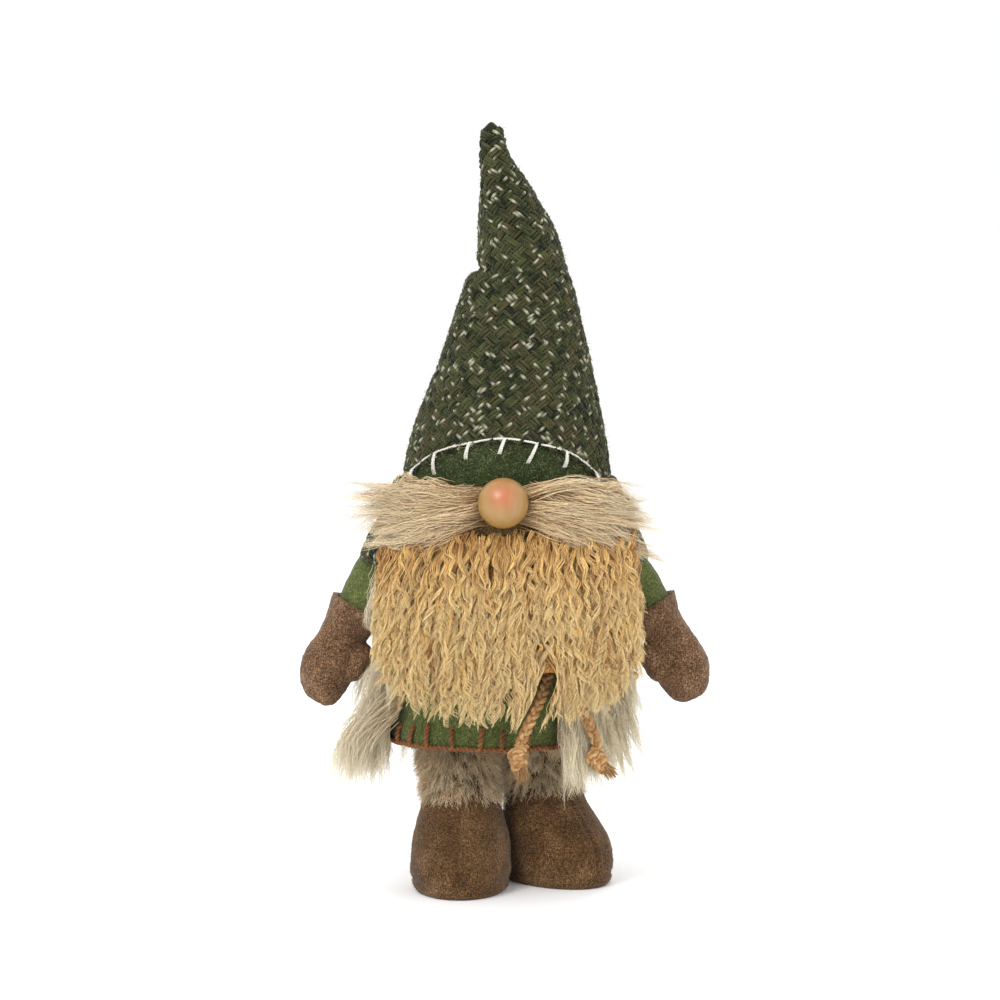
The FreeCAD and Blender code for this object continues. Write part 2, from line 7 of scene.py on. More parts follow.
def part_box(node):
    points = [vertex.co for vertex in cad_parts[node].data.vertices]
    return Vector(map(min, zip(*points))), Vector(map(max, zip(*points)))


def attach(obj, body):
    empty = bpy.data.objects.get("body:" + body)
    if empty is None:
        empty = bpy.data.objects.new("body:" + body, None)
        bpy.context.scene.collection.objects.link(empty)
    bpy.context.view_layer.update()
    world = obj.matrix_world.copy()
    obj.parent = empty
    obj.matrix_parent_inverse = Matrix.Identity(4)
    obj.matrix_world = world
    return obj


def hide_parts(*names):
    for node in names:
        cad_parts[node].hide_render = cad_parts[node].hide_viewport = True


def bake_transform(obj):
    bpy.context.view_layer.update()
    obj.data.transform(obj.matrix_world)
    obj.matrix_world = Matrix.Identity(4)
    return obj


# The gnome's looks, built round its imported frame. Sizes here are millimetres until a mesh is made;
# y is counted from the body's axis, and is negative towards the face.

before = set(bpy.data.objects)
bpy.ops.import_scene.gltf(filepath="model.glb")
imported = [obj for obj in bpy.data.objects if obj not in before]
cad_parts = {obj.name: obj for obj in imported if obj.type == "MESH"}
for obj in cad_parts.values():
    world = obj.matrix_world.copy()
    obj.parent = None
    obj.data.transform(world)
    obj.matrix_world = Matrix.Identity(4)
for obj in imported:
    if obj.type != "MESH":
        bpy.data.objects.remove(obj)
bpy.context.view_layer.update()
rng = np.random.default_rng(11)
MM = 0.001
belt_low, belt_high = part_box("belt_cord")
AXIS_Y = (belt_low[1] + belt_high[1]) / 2
nose_low, nose_high = (np.array(corner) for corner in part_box("nose_bead"))
NOSE_CENTRE = (nose_low + nose_high) / 2
NOSE_RADIUS = (nose_high[0] - nose_low[0]) / 2

DOWN = np.array([0.0, 0.0, -1.0])
UV_NAME = "OFBake"


# ---------------------------------------------------------------- numbers and colours

def linear(red, green, blue):
    """An sRGB colour, 0 to 255, as linear light."""
    return tuple(
        c / 12.92 if c <= 0.04045 else ((c + 0.055) / 1.055) ** 2.4
        for c in (red / 255, green / 255, blue / 255)
    )


def to_metres(points):
    out = np.array(points, dtype=np.float64) * MM
    out[..., 1] += AXIS_Y
    return out


def from_metres(points):
    out = np.array(points, dtype=np.float64)
    out[..., 1] -= AXIS_Y
    return out / MM


def unit(vectors):
    return vectors / np.maximum(np.linalg.norm(vectors, axis=-1, keepdims=True), 1e-9)


def lumps(points, size, seed=0.0):
    """Smooth noise, about -1 to 1, at each point."""
    flat = np.asarray(points).reshape(-1, 3) / size + seed
    values = [noise.noise(Vector(p)) for p in flat]
    return np.array(values).reshape(np.asarray(points).shape[:-1]) * 1.6


class Profile:
    """Level ovals stacked up z: each station is (z, centre x, half width, half depth)."""

    def __init__(self, stations):
        self.z, self.cx, self.rx, self.ry = np.array(stations, dtype=float).T

    def at(self, z):
        return tuple(smooth_interp(z, self.z, values) for values in (self.cx, self.rx, self.ry))

    def point(self, angle, z, grow=0.0):
        """Angle 0 is the front; it runs towards +X."""
        cx, rx, ry = self.at(z)
        return np.stack([
            cx + (rx + grow) * np.sin(angle), -(ry + grow) * np.cos(angle), z + 0 * angle,
        ], axis=-1)

    def normal(self, angle, z):
        step = 0.5
        across = self.point(angle + 0.01, z) - self.point(angle - 0.01, z)
        up = self.point(angle, z + step) - self.point(angle, z - step)
        return unit(np.cross(across, up))

    def raised(self, angle, z, out):
        """The point that stands out from the surface by out."""
        return self.point(angle, z) + self.normal(angle, z) * out[..., None]

    def resize(self, points, grow, scale_for):
        """Points moved level, from or to the middle.

        scale_for gives the factor from how far out each is, where 1 is on the surface.
        """
        cx, rx, ry = self.at(points[..., 2])
        dx = points[..., 0] - cx
        scale = scale_for(np.sqrt((dx / (rx + grow)) ** 2 + (points[..., 1] / (ry + grow)) ** 2))
        out = points.copy()
        out[..., 0] = cx + dx * scale
        out[..., 1] *= scale
        return out

    def push_out(self, points, grow=0.0):
        """Move points that are inside the form out to its surface."""
        level = (points[..., 2] > self.z[0]) & (points[..., 2] < self.z[-1])
        return self.resize(
            points, grow, lambda share: np.where((share < 1) & level, 1 / np.maximum(share, 0.2), 1.0),
        )


def smooth_interp(x, xs, ys):
    """Cubic interpolation with slopes from the neighbours, held at the ends."""
    x = np.clip(np.asarray(x, dtype=float), xs[0], xs[-1])
    slopes = np.gradient(ys, xs)
    index = np.clip(np.searchsorted(xs, x) - 1, 0, len(xs) - 2)
    span = xs[index + 1] - xs[index]
    t = (x - xs[index]) / span
    a, b = ys[index], ys[index + 1]
    ma, mb = slopes[index] * span, slopes[index + 1] * span
    return (
        (2 * t**3 - 3 * t**2 + 1) * a + (t**3 - 2 * t**2 + t) * ma
        + (-2 * t**3 + 3 * t**2) * b + (t**3 - t**2) * mb
    )


# ---------------------------------------------------------------- meshes

def add_mesh(name, points, quads, material, body, replaces=(), tint=None, uv=None):
    """A piece from points in millimetres and quads of their numbers."""
    mesh = bpy.data.meshes.new(name)
    flat = to_metres(points).reshape(-1, 3)
    quads = np.asarray(quads, dtype=np.int32).reshape(-1, 4)
    mesh.vertices.add(len(flat))
    mesh.vertices.foreach_set("co", flat.ravel())
    mesh.loops.add(quads.size)
    mesh.loops.foreach_set("vertex_index", quads.ravel())
    mesh.polygons.add(len(quads))
    mesh.polygons.foreach_set("loop_start", np.arange(0, quads.size, 4, dtype=np.int32))
    mesh.update(calc_edges=True)
    mesh.polygons.foreach_set("use_smooth", np.full(len(quads), True))
    if tint is not None:
        colours = np.ones((len(flat), 4), dtype=np.float32)
        colours[:, :3] = np.asarray(tint).reshape(-1, 3)
        layer = mesh.color_attributes.new("tint", "FLOAT_COLOR", "POINT")
        layer.data.foreach_set("color", colours.ravel())
    if uv is not None:
        layer = mesh.uv_layers.new(name=UV_NAME)
        corners = np.asarray(uv, dtype=np.float32).reshape(-1, 2)[quads.ravel()]
        layer.data.foreach_set("uv", corners.ravel())
    obj = bpy.data.objects.new(name, mesh)
    bpy.context.scene.collection.objects.link(obj)
    return finish_piece(obj, material, body, replaces)


def finish_piece(obj, material, body, replaces=()):
    obj.data.materials.clear()
    obj.data.materials.append(material)
    if body:
        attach(obj, body)
    if replaces:
        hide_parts(*replaces)
    return obj


def grid_quads(rows, columns, closed=True, start=0):
    """Quads of a grid of points, rows by columns, its last column joined to the first if closed."""
    spans = columns if closed else columns - 1
    row, column = np.meshgrid(np.arange(rows - 1), np.arange(spans), indexing="ij")
    after = (column + 1) % columns
    quads = np.stack([
        row * columns + column, row * columns + after,
        (row + 1) * columns + after, (row + 1) * columns + column,
    ], axis=-1)
    return quads.reshape(-1, 4) + start


def two_sided(rows, columns):
    """Quads of an outer grid of points, and of the inner grid after it, which faces the other way."""
    inner = grid_quads(rows, columns, False, rows * columns)[:, ::-1]
    return np.concatenate([grid_quads(rows, columns, False), inner])


def tubes(paths, radii, tints, sides, flat):
    """Tubes round many paths at once: points, quads, tints and UVs. paths is tube by step by 3."""
    paths = np.asarray(paths, dtype=float)
    count, steps, _ = paths.shape
    along = unit(np.gradient(paths, axis=1))
    hint = unit(rng.normal(size=(count, 1, 3)))
    across = unit(np.cross(along, hint))
    upward = np.cross(along, across)
    turn = np.arange(sides) * 2 * math.pi / sides
    radii = np.broadcast_to(np.asarray(radii, dtype=float), (count, steps))[..., None, None]
    ring = (
        np.cos(turn)[:, None] * across[:, :, None, :]
        + flat * np.sin(turn)[:, None] * upward[:, :, None, :]
    )
    points = paths[:, :, None, :] + radii * ring
    starts = (np.arange(count) * steps * sides)[:, None, None]
    quads = (grid_quads(steps, sides)[None] + starts).reshape(-1, 4)
    columns = int(math.ceil(math.sqrt(count)))
    cell = np.arange(count)
    u = (cell % columns)[:, None, None] + 0.15 + 0.7 * (np.arange(sides) / sides)[None, None, :]
    v = (cell // columns)[:, None, None] + 0.1 + 0.8 * (np.arange(steps) / (steps - 1))[None, :, None]
    uv = np.stack(np.broadcast_arrays(u / columns, v / columns), axis=-1)
    tints = np.broadcast_to(np.asarray(tints)[:, :, None, :], (count, steps, sides, 3))
    return points.reshape(-1, 3), quads, tints, uv


def add_tubes(name, paths, radii, tints, material, body, replaces=(), sides=3, flat=1.0):
    points, quads, tints, uv = tubes(paths, radii, tints, sides, flat)
    return add_mesh(name, points, quads, material, body, replaces, tints, uv)


def add_hair(name, paths, radii, tints, material, body, replaces, pieces):
    """Strands shared over several pieces, so that none is too heavy."""
    for index in range(pieces):
        pick = slice(index, None, pieces)
        add_tubes(
            f"{name}_{index + 1}", paths[pick], radii[pick], tints[pick], material, body,
            replaces if index == 0 else (),
        )


def mix(first, second, share):
    share = np.asarray(share)[..., None]
    return np.asarray(first) * (1 - share) + np.asarray(second) * share


def run_length(path):
    """How far along a polyline each of its points is."""
    return np.concatenate([[0], np.cumsum(np.linalg.norm(np.diff(path, axis=0), axis=1))])


def resample(path, count):
    """Evenly spaced points along a polyline."""
    path = np.asarray(path, dtype=float)
    lengths = run_length(path)
    wanted = np.linspace(0, lengths[-1], count)
    return np.stack([np.interp(wanted, lengths, path[:, axis]) for axis in range(3)], axis=-1)


def frames_along(path):
    """Two directions across a path at each of its points."""
    along = unit(np.gradient(path, axis=0))
    across = unit(np.cross(along, np.array([0.0, -1.0, 0.0])))
    return across, np.cross(along, across)


def shifted(path, across, sideways, upward, raised):
    """A path moved by its own distances along two directions."""
    return path + across * sideways[:, None] + upward * raised[:, None]


def twisted(path, radius, pitch):
    """Two plies of yarn twisted round a path."""
    across, upward = frames_along(path)
    phase = 2 * math.pi * run_length(path) / pitch
    ply = radius * 0.5
    return [
        shifted(path, across, ply * np.cos(phase + half), upward, ply * np.sin(phase + half))
        for half in (0, math.pi)
    ]


def grow_hair(roots, heading, length, droop, steps):
    """Strands that leave along heading and turn down; droop 0 is straight, 1 hangs at the tip."""
    count = len(roots)
    t = np.linspace(0, 1, steps)
    weight = np.clip(np.asarray(droop).reshape(-1, 1) * t[None, :] ** 0.8, 0, 1)[..., None]
    turn = unit(heading[:, None, :] * (1 - weight) + DOWN * weight)
    reach = (np.broadcast_to(np.asarray(length).reshape(-1, 1), (count, 1)) / (steps - 1))[..., None]
    path = np.concatenate([np.zeros((count, 1, 3)), np.cumsum(turn[:, 1:] * reach, axis=1)], axis=1)
    return roots[:, None, :] + path


def clump(guides, per_guide, spread, pinch, wobble=0.0, length_play=0.15):
    """Strands round each guide, gathered towards its tip by pinch, each with its own wobble."""
    count, steps, _ = guides.shape
    t = np.linspace(0, 1, steps)[None, :, None]
    base = np.repeat(guides, per_guide, axis=0)
    offset = rng.normal(size=(count * per_guide, 1, 3)) * spread
    reach = 1 - length_play * rng.random((count * per_guide, 1, 1))
    strands = base[:, :1] + (base - base[:, :1]) * reach + offset * (1 - pinch * t)
    if wobble:
        phase = rng.random((count * per_guide, 1, 3)) * 2 * math.pi
        rate = 3 + 4 * rng.random((count * per_guide, 1, 3))
        strands = strands + wobble * t * np.sin(phase + rate * t * math.pi)
    return strands


def per_strand(count, steps):
    """One random number for each strand, the same all along it."""
    return rng.random((count, 1)) * np.ones((1, steps))


def root_to_tip(count, steps):
    """0 at each strand's root, rising to 1 at its tip."""
    return np.linspace(0, 1, steps)[None] * np.ones((count, 1))


def taper(count, steps, root, tip=0.25):
    """The strands' radii: a little different from one to the next, and thinner towards the tip."""
    t = np.linspace(0, 1, steps)[None, :]
    size = root * (1 + 0.25 * rng.standard_normal((count, 1)))
    return np.clip(size, root * 0.5, root * 1.8) * (1 - (1 - tip) * t**1.5)


# ---------------------------------------------------------------- materials

def new_material(name, roughness, sheen=0.0, specular=0.3):
    material = bpy.data.materials.new(name)
    material.use_nodes = True
    shader = material.node_tree.nodes["Principled BSDF"]
    shader.inputs["Roughness"].default_value = roughness
    shader.inputs["Sheen Weight"].default_value = sheen
    shader.inputs["Sheen Roughness"].default_value = 0.4
    shader.inputs["Specular IOR Level"].default_value = specular
    return material, material.node_tree, shader


def node(tree, kind, **values):
    item = tree.nodes.new(kind)
    for key, value in values.items():
        if key in item.inputs:
            item.inputs[key].default_value = value
        else:
            setattr(item, key, value)
    return item


def noise_node(tree, scale, detail=4.0):
    """Object-space noise; scale is in waves per metre."""
    place = node(tree, "ShaderNodeTexCoord")
    item = node(tree, "ShaderNodeTexNoise", Scale=scale, Detail=detail)
    tree.links.new(place.outputs["Object"], item.inputs["Vector"])
    return item


def stretched_noise(tree, scale, detail, rotation=(0, 0, 0)):
    """Noise drawn out along one direction; scale is in waves per metre along each axis."""
    place = node(tree, "ShaderNodeTexCoord")
    mapping = node(tree, "ShaderNodeMapping", Scale=scale, Rotation=rotation)
    tree.links.new(place.outputs["Object"], mapping.inputs["Vector"])
    item = node(tree, "ShaderNodeTexNoise", Scale=1.0, Detail=detail)
    tree.links.new(mapping.outputs["Vector"], item.inputs["Vector"])
    return item


def ramp(tree, source, stops):
    item = tree.nodes.new("ShaderNodeValToRGB")
    elements = item.color_ramp.elements
    while len(elements) < len(stops):
        elements.new(0.5)
    for element, (position, colour) in zip(elements, stops):
        element.position = position
        element.color = (*colour, 1)
    tree.links.new(source, item.inputs["Fac"])
    return item


def blend_colours(tree, mode, factor, first, second):
    item = node(tree, "ShaderNodeMix", data_type="RGBA", blend_type=mode)
    item.inputs[0].default_value = factor
    tree.links.new(first, item.inputs[6])
    tree.links.new(second, item.inputs[7])
    return item.outputs[2]


def bump(tree, shader, source, strength, distance):
    item = node(tree, "ShaderNodeBump", Strength=strength, Distance=distance)
    tree.links.new(source, item.inputs["Height"])
    tree.links.new(item.outputs["Normal"], shader.inputs["Normal"])


def felt(name, dark, middle, light, mottle=60.0, sheen=0.2, heather=0.5):
    """Pressed wool: faint broad mottling under crossed light and dark fibres, with a rough nap."""
    material, tree, shader = new_material(name, 0.95, sheen, 0.15)
    broad = ramp(tree, noise_node(tree, mottle, 5).outputs["Fac"],
                 [(0.3, dark), (0.5, middle), (0.7, light)])
    even = node(tree, "ShaderNodeMix", data_type="RGBA", blend_type="MIX")
    even.inputs[0].default_value = 0.45
    even.inputs[6].default_value = (*middle, 1)
    tree.links.new(broad.outputs["Color"], even.inputs[7])
    colour = even.outputs[2]
    for stretch in ((1500, 1500, 420), (420, 1300, 1500), (1400, 420, 1100)):
        fibres = stretched_noise(tree, stretch, 2.0, (0.5, 0.4, 0.6))
        tone = ramp(
            tree, fibres.outputs["Fac"],
            [(0.36, (0.42, 0.40, 0.38)), (0.5, (0.95, 0.95, 0.95)), (0.66, (1.7, 1.65, 1.6))],
        )
        colour = blend_colours(tree, "MULTIPLY", heather, colour, tone.outputs["Color"])
    tree.links.new(colour, shader.inputs["Base Color"])
    bump(tree, shader, noise_node(tree, 900, 6).outputs["Fac"], 0.7, 0.0012)
    return material


def tinted(name, roughness, sheen=0.1, specular=0.25, fine=1200.0, depth=0.35):
    """Colour carried by the strands or yarns themselves, broken up by fine noise."""
    material, tree, shader = new_material(name, roughness, sheen, specular)
    own = node(tree, "ShaderNodeAttribute", attribute_name="tint")
    grain = ramp(tree, noise_node(tree, fine, 3).outputs["Fac"],
                 [(0.3, (0.6, 0.6, 0.6)), (0.7, (1.2, 1.2, 1.2))])
    colour = blend_colours(tree, "MULTIPLY", 0.7, own.outputs["Color"], grain.outputs["Color"])
    tree.links.new(colour, shader.inputs["Base Color"])
    if depth:
        bump(tree, shader, noise_node(tree, fine, 4).outputs["Fac"], depth, 0.0006)
    return material


def plain(name, colour, roughness=0.9):
    """A quiet surface for the parts inside."""
    material, tree, shader = new_material(name, roughness)
    low = tuple(c * 0.8 for c in colour)
    tone = ramp(tree, noise_node(tree, 300).outputs["Fac"], [(0.35, low), (0.65, colour)])
    tree.links.new(tone.outputs["Color"], shader.inputs["Base Color"])
    bump(tree, shader, noise_node(tree, 600).outputs["Fac"], 0.3, 0.001)
    return material


def bead_material():
    """Varnished wood: honey grain with a warm blush on the upper front."""
    material, tree, shader = new_material("bead_wood", 0.38, 0.0, 0.5)
    place = node(tree, "ShaderNodeTexCoord")
    shift = node(tree, "ShaderNodeMapping", vector_type="POINT")
    shift.inputs["Location"].default_value = (-NOSE_CENTRE[0], 0, -(NOSE_CENTRE[2] + 0.006))
    shift.inputs["Scale"].default_value = (1, 0, 1)
    tree.links.new(place.outputs["Object"], shift.inputs["Vector"])
    size = node(tree, "ShaderNodeVectorMath", operation="LENGTH")
    tree.links.new(shift.outputs["Vector"], size.inputs[0])
    reach = node(tree, "ShaderNodeMath", operation="MULTIPLY")
    reach.inputs[1].default_value = 70.0
    tree.links.new(size.outputs["Value"], reach.inputs[0])
    blush = ramp(tree, reach.outputs["Value"],
                 [(0.10, linear(184, 108, 68)), (0.9, linear(164, 128, 72))])
    grain = ramp(
        tree, stretched_noise(tree, (260, 260, 30), 3.0).outputs["Fac"],
        [(0.3, (0.88, 0.86, 0.82)), (0.7, (1.04, 1.04, 1.04))],
    )
    colour = blend_colours(tree, "MULTIPLY", 0.8, blush.outputs["Color"], grain.outputs["Color"])
    tree.links.new(colour, shader.inputs["Base Color"])
    shader.inputs["Coat Weight"].default_value = 0.35
    shader.inputs["Coat Roughness"].default_value = 0.3
    return material


# ---------------------------------------------------------------- camera and light

def studio():
    """A long lens a little above the figure, a white sweep of floor and soft light."""
    scene = bpy.context.scene
    scene.view_settings.view_transform = "Standard"
    camera_data = bpy.data.cameras.new("camera")
    camera_data.sensor_width = 36
    camera_data.lens = 121.4
    camera = bpy.data.objects.new("camera", camera_data)
    scene.collection.objects.link(camera)
    scene.camera = camera
    tilt = math.radians(5.5)
    distance = 2.2
    target = Vector((-0.002, AXIS_Y, 0.2518))
    camera.location = target + Vector((0, -math.cos(tilt), math.sin(tilt))) * distance
    camera.rotation_euler = (math.pi / 2 - tilt, 0, 0)
    world = bpy.data.worlds.new("studio")
    world.use_nodes = True
    world.node_tree.nodes["Background"].inputs["Color"].default_value = (1, 1, 1, 1)
    world.node_tree.nodes["Background"].inputs["Strength"].default_value = 1.02
    scene.world = world
    for name, place, size, power in (
        ("key", (-1.0, -1.5, 1.8), 0.9, 24),
        ("fill", (1.6, -1.3, 0.9), 1.4, 5),
        ("back", (0.3, 1.5, 1.6), 1.2, 12),
    ):
        data = bpy.data.lights.new(name, "AREA")
        data.size = size
        data.energy = power
        lamp = bpy.data.objects.new(name, data)
        lamp.location = place
        aim = Vector((0, 0, 0.25)) - lamp.location
        lamp.rotation_euler = aim.to_track_quat("-Z", "Y").to_euler()
        scene.collection.objects.link(lamp)
    bpy.ops.mesh.primitive_plane_add(size=60)
    floor = bpy.context.object
    floor.name = "floor"
    floor_material, _, shader = new_material("floor", 0.9, 0.0, 0.1)
    shader.inputs["Base Color"].default_value = (1, 1, 1, 1)
    floor.data.materials.append(floor_material)


# ---------------------------------------------------------------- belt

# Where each belt end hangs, from the knot down, as (side, fore, up).
BELT_ENDS = {
    "long": [(30, 61, 153), (28, 66, 142), (23, 75, 130), (15, 81, 115), (10, 80, 102)],
    "short": [(37, 60, 153), (42, 65, 141), (49, 64, 126), (57, 60, 111), (61, 57, 97)],
}
BELT_UP = 160.0
BELT_SIDE = -2.0
BRAID_PITCH = 17.0
# A knot is tied of the same cord drawn tight: the braid's pitch, width, depth and ply.
TIGHT_BRAID = (11, 1.5, 0.9, 1.5)


def cord_line(name, route):
    """Points along the smooth line through a route; fore distances become negative y."""
    curve = bpy.data.curves.new(name, "CURVE")
    curve.dimensions = "3D"
    spline = curve.splines.new("NURBS")
    spline.points.add(len(route) - 1)
    for point, (side, fore, up) in zip(spline.points, route):
        point.co = (side, -fore, up, 1)
    spline.order_u = 3
    spline.use_endpoint_u = True
    spline.resolution_u = 24
    helper = bpy.data.objects.new(name, curve)
    bpy.context.scene.collection.objects.link(helper)
    bpy.context.view_layer.update()
    mesh = bpy.data.meshes.new_from_object(helper)
    line = np.array([vertex.co[:] for vertex in mesh.vertices])
    bpy.data.objects.remove(helper)
    bpy.data.curves.remove(curve)
    bpy.data.meshes.remove(mesh)
    return resample(line, 90)


BELT_LINES = {name: cord_line(f"line_{name}", route) for name, route in BELT_ENDS.items()}


def braid(line, pitch=BRAID_PITCH, wide=2.1, deep=1.15, strand=1.6):
    """Three plies that cross as a braid does, each a bundle of thin fibres."""
    across, upward = frames_along(line)
    lengths = run_length(line)
    fibres = 5
    bundle = strand * 0.55
    paths = []
    for ply in range(3):
        phase = 2 * math.pi * (lengths / pitch + ply / 3)
        centre = shifted(line, across, wide * np.sin(phase), upward, deep * np.sin(2 * phase))
        for fibre in range(fibres):
            twist = 2 * math.pi * (fibre / fibres + lengths / 9)
            paths.append(shifted(centre, across, bundle * np.cos(twist), upward, bundle * np.sin(twist)))
    return np.array(paths)


def jute_tints(count, steps):
    """Brown to straw from one fibre to the next, and duller in places along each."""
    tone = per_strand(count, steps)
    grey = 0.15 * rng.random((count, steps))
    return mix(mix(linear(152, 109, 64), linear(212, 170, 118), tone), linear(120, 90, 59), grey)


def add_braid(name, plies, radius, material, replaced):
    tints = jute_tints(len(plies), plies.shape[1])
    return add_tubes(name, plies, radius, tints, material, "root", replaced, 6)


def wound(centre, heading, wide, tall, turns):
    """A coil of cord round an axis along heading, wide at its start and narrower at its end."""
    t = np.linspace(0, 2 * math.pi * turns, 140)
    share = t / t[-1]
    radius = wide * (1 - 0.35 * share)
    across = unit(np.cross(heading, np.array([0.05, 1.0, 0.02])))
    upward = np.cross(heading, across)
    along = tall * (share - 0.5) - 1.3 * np.sin(t + 0.8)
    coil = shifted(centre, across, radius * np.cos(t), upward, radius * np.sin(t))
    return coil + along[:, None] * heading


def end_knot(name, end, lean, material, replaced):
    """The cord wound round itself above its end, and the frayed fibres that leave it."""
    side, fore, up = end
    centre = np.array([side, -fore, up - 7.0])
    down = unit(np.array([math.sin(lean), -0.1, -math.cos(lean)]))
    knot = add_braid(name, braid(wound(centre, down, 4.3, 11, 2.6), *TIGHT_BRAID), 0.95, material, replaced)
    count = 150
    roots = centre + rng.normal(size=(count, 3)) * (1.3, 1.3, 1.0) + down * 3
    spread = unit(down + rng.normal(size=(count, 3)) * 0.16)
    fray = grow_hair(roots, spread, 8 + 4 * rng.random(count), 0.1, 6)
    fray_piece = add_tubes(
        name + "_fray", fray, taper(count, 6, 0.4), jute_tints(count, 6), material, "root"
    )
    return knot, fray_piece


def belt_ends(material):
    """The belt's two hanging ends, each a free cord with its knot and fray."""
    for name, lean in (("long", 0.15), ("short", 0.8)):
        line = BELT_LINES[name]
        cord = add_braid(f"cord_{name}", braid(line), 0.9, material, (f"belt_end_{name}",))
        knot, fray = end_knot(
            f"tied_end_{name}", BELT_ENDS[name][-1], lean, material, (f"belt_end_knot_{name}",)
        )
        path = to_metres(line)


def waist_belt(material):
    """The braided cord round the waist, and the knot that closes it under the beard."""
    turn = np.linspace(0, 2 * math.pi, 420)
    ring = np.stack([BELT_SIDE + 78 * np.sin(turn), -65.5 * np.cos(turn), BELT_UP + 0 * turn], axis=-1)
    add_braid("belt_braid", braid(ring), 0.9, material, ("belt_cord",))
    coil = wound(np.array([33.0, -61.8, BELT_UP]), np.array([1.0, 0, 0]), 4.4, 16, 3.4)
    add_braid("belt_tie", braid(coil, *TIGHT_BRAID), 0.95, material, ("belt_knot",))


def cord_at(line, z):
    """A hanging cord's x and y at each height."""
    order = np.argsort(line[:, 2])
    return [np.interp(z, line[order, 2], line[order, axis]) for axis in (0, 1)]


def part_round(strands, line, room, high):
    """Strands that would cross a hanging cord are moved to the side of it that they are on."""
    z = strands[..., 2]
    gap = strands[..., 0] - cord_at(line, z)[0]
    low = np.clip((high - z) / 26, 0, 1)
    weight = low + 1e-6
    middle = (gap * weight).sum(axis=1, keepdims=True) / weight.sum(axis=1, keepdims=True)
    side = np.where(middle > 0, 1.0, -1.0)
    far = 2.4 * room
    own = np.clip(side * gap, 0, far)
    moved = room + own * (far - room) / far
    near = (side * gap < far) & (low > 0)
    strands[..., 0] += np.where(near, side * (moved - side * gap) * low, 0)


def press_behind(strands, line, room, high):
    """Strands close to a hanging cord lie behind it."""
    z = strands[..., 2]
    cord_x, cord_y = cord_at(line, z)
    near = np.clip(1.6 - np.abs(strands[..., 0] - cord_x) / room, 0, 1) * np.clip((high - z) / 10, 0, 1)
    behind = np.maximum(strands[..., 1], cord_y + 4.6)
    strands[..., 1] += (behind - strands[..., 1]) * near


# ---------------------------------------------------------------- hat

HAT = Profile([
    (250, 2, 67.5, 60.5), (268, 2.5, 66, 59.5), (297, 3.6, 61, 54), (319, 5.5, 54.8, 49.5),
    (335, 7, 49.8, 45), (350, 7.6, 45.6, 41.5), (366, 8.4, 41, 38), (381, 9.8, 36.8, 34),
    (393, 11.2, 32.6, 30.5), (401, 12.8, 28.4, 27.5), (412, 11.8, 26.2, 25.5), (428, 8.6, 23.4, 23),
    (443, 4.2, 18.8, 18.5), (459, 0.4, 13.4, 13.4), (474, -5.0, 8.6, 8.6), (488, -7.0, 6.2, 6.2),
    (494, -7.4, 4.6, 4.6), (497, -7.6, 1.2, 1.2),
])
HAT_LOW = 250
# The flat cloth: the yarns' pitch, and the cone it is rolled into, by its top, its slope and its share
# of a full turn.
WEAVE = 6.4
CONE_SHARE = 0.26
CONE_TOP = 503.0
CONE_SLOPE = 0.966
CREASE_LOW = (12, 0, 390)
CREASE_HIGH = (11, 0, 420)
PATCH_UP = 251.0
PATCH_WIDE = 66.0
PATCH_TALL = 44.0
# Each upright stitch on the patch: its place as degrees round the edge, its length and its slant.
VISOR_LEGS = (
    (149, 9, 0.0), (130, 13, -0.03), (108, 10.5, -0.28), (89, 9, -0.38), (71, 12.5, -0.49),
    (53, 9.5, -0.17), (28.5, 9, 0.13),
)


def in_patch(angle, z):
    """Below 1 inside the plain patch on the hat's front."""
    x = HAT.point(angle, z)[..., 0]
    inside = (x / PATCH_WIDE) ** 2 + ((z - PATCH_UP) / PATCH_TALL) ** 2
    return np.where(np.cos(angle) > 0, inside, 9.0)


def hat_lift(angle, z):
    """How far the cloth stands out: the patch on the front, and folds in the crease."""
    patch = 1.1 / (1 + np.exp(np.clip((in_patch(angle, z) - 1) * 30, -50, 50)))
    left = np.exp(-((angle + math.pi / 2) / 0.9) ** 2)
    fold = -2.6 * left * np.exp(-((z - 402.5) / 3.4) ** 2) + 1.4 * left * np.exp(-((z - 394) / 5) ** 2)
    soft = 0.9 * np.sin(3 * angle + z / 16) * np.clip((z - 300) / 80, 0, 1) * np.clip((470 - z) / 40, 0, 1)
    return patch + fold + soft


def on_cloth(u, v):
    """Flat x and y of a place counted in yarns along the cloth's two diagonals."""
    return (u - v) * WEAVE / math.sqrt(2), (u + v) * WEAVE / math.sqrt(2)


def cloth_cells(span, inside):
    """The crossings of the weave at which inside(x, y) holds."""
    cells = [(i, j) for i in range(-span, span) for j in range(-span, span)]
    return [cell for cell in cells if inside(*on_cloth(*cell))]


def weave(profile, lift, cells, back):
    """Yarns over the flat cloth: bundles of three that lie along one diagonal and then the other.

    back turns flat cloth points into angle and z, and says which yarns to keep; lift(angle, z) is the
    surface's own offset.
    """
    count = 6
    steps = np.linspace(-0.5, 0.5, count)
    paths = []
    tones = []
    for i, j in cells:
        bundle = rng.random()
        for lane in (-0.30, 0.0, 0.30):
            if (i + j) % 2 == 0:
                u, v = i + steps * 1.3, np.full(count, j + lane)
            else:
                u, v = np.full(count, i + lane), j + steps * 1.3
            paths.append(np.stack([u, v], axis=-1))
            tones.append(0.65 * bundle + 0.35 * rng.random())
    flat = np.array(paths)
    angle, z, keep = back(*on_cloth(flat[..., 0], flat[..., 1]))
    angle, z = angle[keep], z[keep]
    arch = 1.35 * np.cos(steps * math.pi * 0.98) - 0.35
    surface = profile.raised(angle, z, lift(angle, z) + arch)
    surface += rng.normal(size=(len(surface), 1, 3)) * 0.2
    return surface, tweed_tints(np.array(tones)[keep], count)


